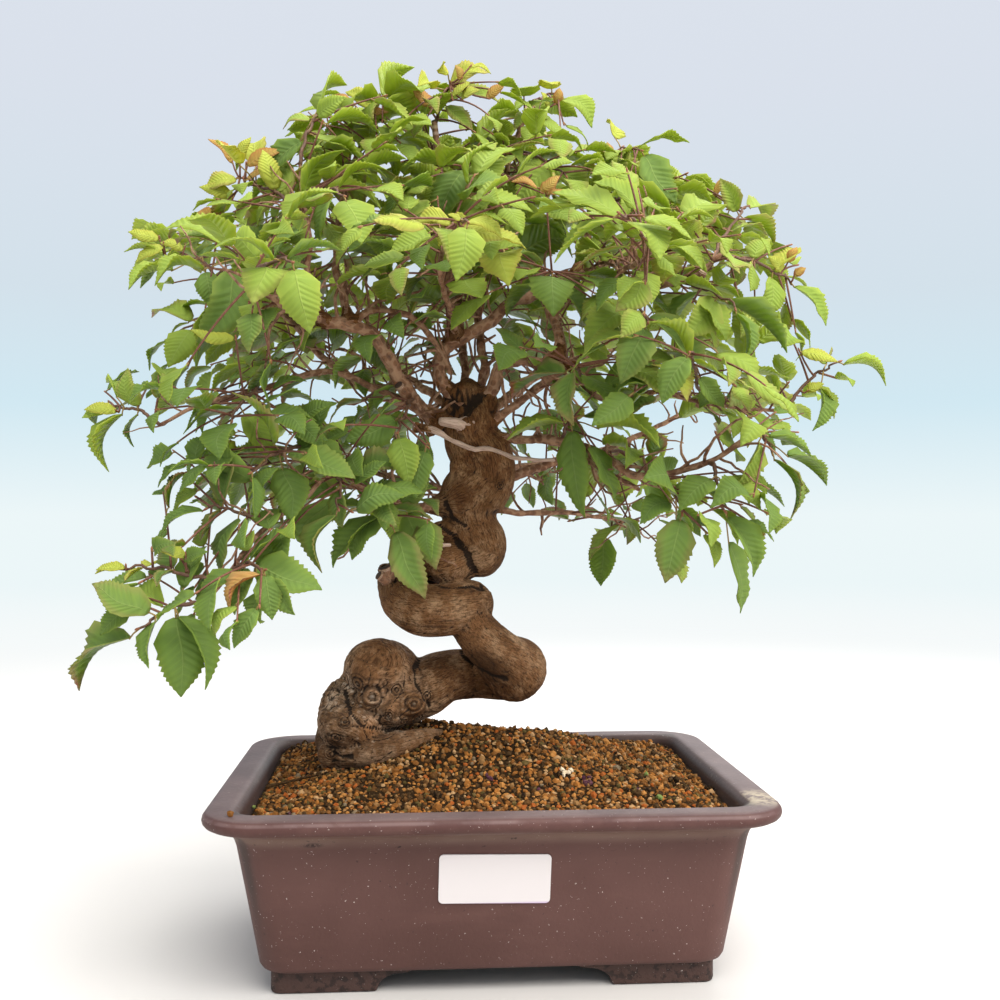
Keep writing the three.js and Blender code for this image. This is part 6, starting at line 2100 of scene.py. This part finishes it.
def floor():
    """A white floor that fades into the air far from the pot."""
    bm = bmesh.new()
    bmesh.ops.create_grid(bm, x_segments=1, y_segments=1, size=FLOOR_REACH)
    mesh = bpy.data.meshes.new("floor")
    bm.to_mesh(mesh)
    bm.free()
    white = Finish("floor_white")
    place = white.object_place()
    x, y, _ = white.parts(place)
    away = (x * x + y * y).math("SQRT")
    colour = white.blend(white.grain(place, 3), (0.59, 0.562, 0.528), (0.625, 0.596, 0.562))
    near = white.surface(colour, 0.6 + white.grain(place, 20) * 0.1)
    air = white.blend(away.rise(0.9, 3.2), NEAR_AIR, HORIZON)
    far = white.node("ShaderNodeEmission", {}, {"Color": air, "Strength": 1.0})
    shader = white.node("ShaderNodeMixShader", {}, {0: away.rise(0.4, 1.5), 1: near, 2: far})
    mesh.materials.append(white.done(shader))
    placed("floor", mesh)


def lights():
    for name, place, size, energy, colour in LIGHTS:
        lamp = bpy.data.lights.new(name, "AREA")
        lamp.energy = energy
        lamp.size = size
        lamp.color = colour
        light = placed(name, lamp)
        light.location = place
        light.rotation_euler = (LIGHTS_FACE - Vector(place)).to_track_quat("-Z", "Y").to_euler()


def air():
    """The sky, bluest a little above the horizon."""
    world = bpy.data.worlds.new("air")
    bpy.context.scene.world = world
    sky = Finish("air", world)
    rise = sky.parts(sky.node("ShaderNodeTexCoord", output="Generated"))[2]
    tone = sky.ramp(rise * 0.5 + 0.5, [(0.0, (0.84, 0.83, 0.80)), (0.495, HORIZON), (0.5, HORIZON),
                                       (0.545, (0.64, 0.81, 0.89)), (0.59, (0.655, 0.755, 0.83)),
                                       (0.667, (0.70, 0.752, 0.835)), (1.0, (0.78, 0.80, 0.86))])
    glow = sky.node("ShaderNodeBackground", {}, {"Color": tone, "Strength": 1.0})
    sky.node("ShaderNodeOutputWorld", {}, {"Surface": glow})


def eye():
    """The camera that sees the view."""
    camera = bpy.data.cameras.new("camera")
    camera.sensor_width = SENSOR
    camera.lens = SENSOR * VIEW_LENGTH / (2 * VIEW_MIDDLE)
    camera.clip_start = 0.05
    camera.clip_end = 50
    piece = placed("camera", camera)
    piece.location = VIEW_EYE * MM
    piece.rotation_euler = (math.pi / 2 - VIEW_TILT, 0, -VIEW_TURN)
    bpy.context.scene.camera = piece
    bpy.context.scene.view_settings.view_transform = "Standard"


def main():
    floor()
    lights()
    air()
    eye()
    pot()
    label()
    screens()
    shaded_soil_bed()
    grains()
    trunk()
    limbs()
    sprays = grow_crown()
    twigs(sprays)
    leaves(sprays)


main()
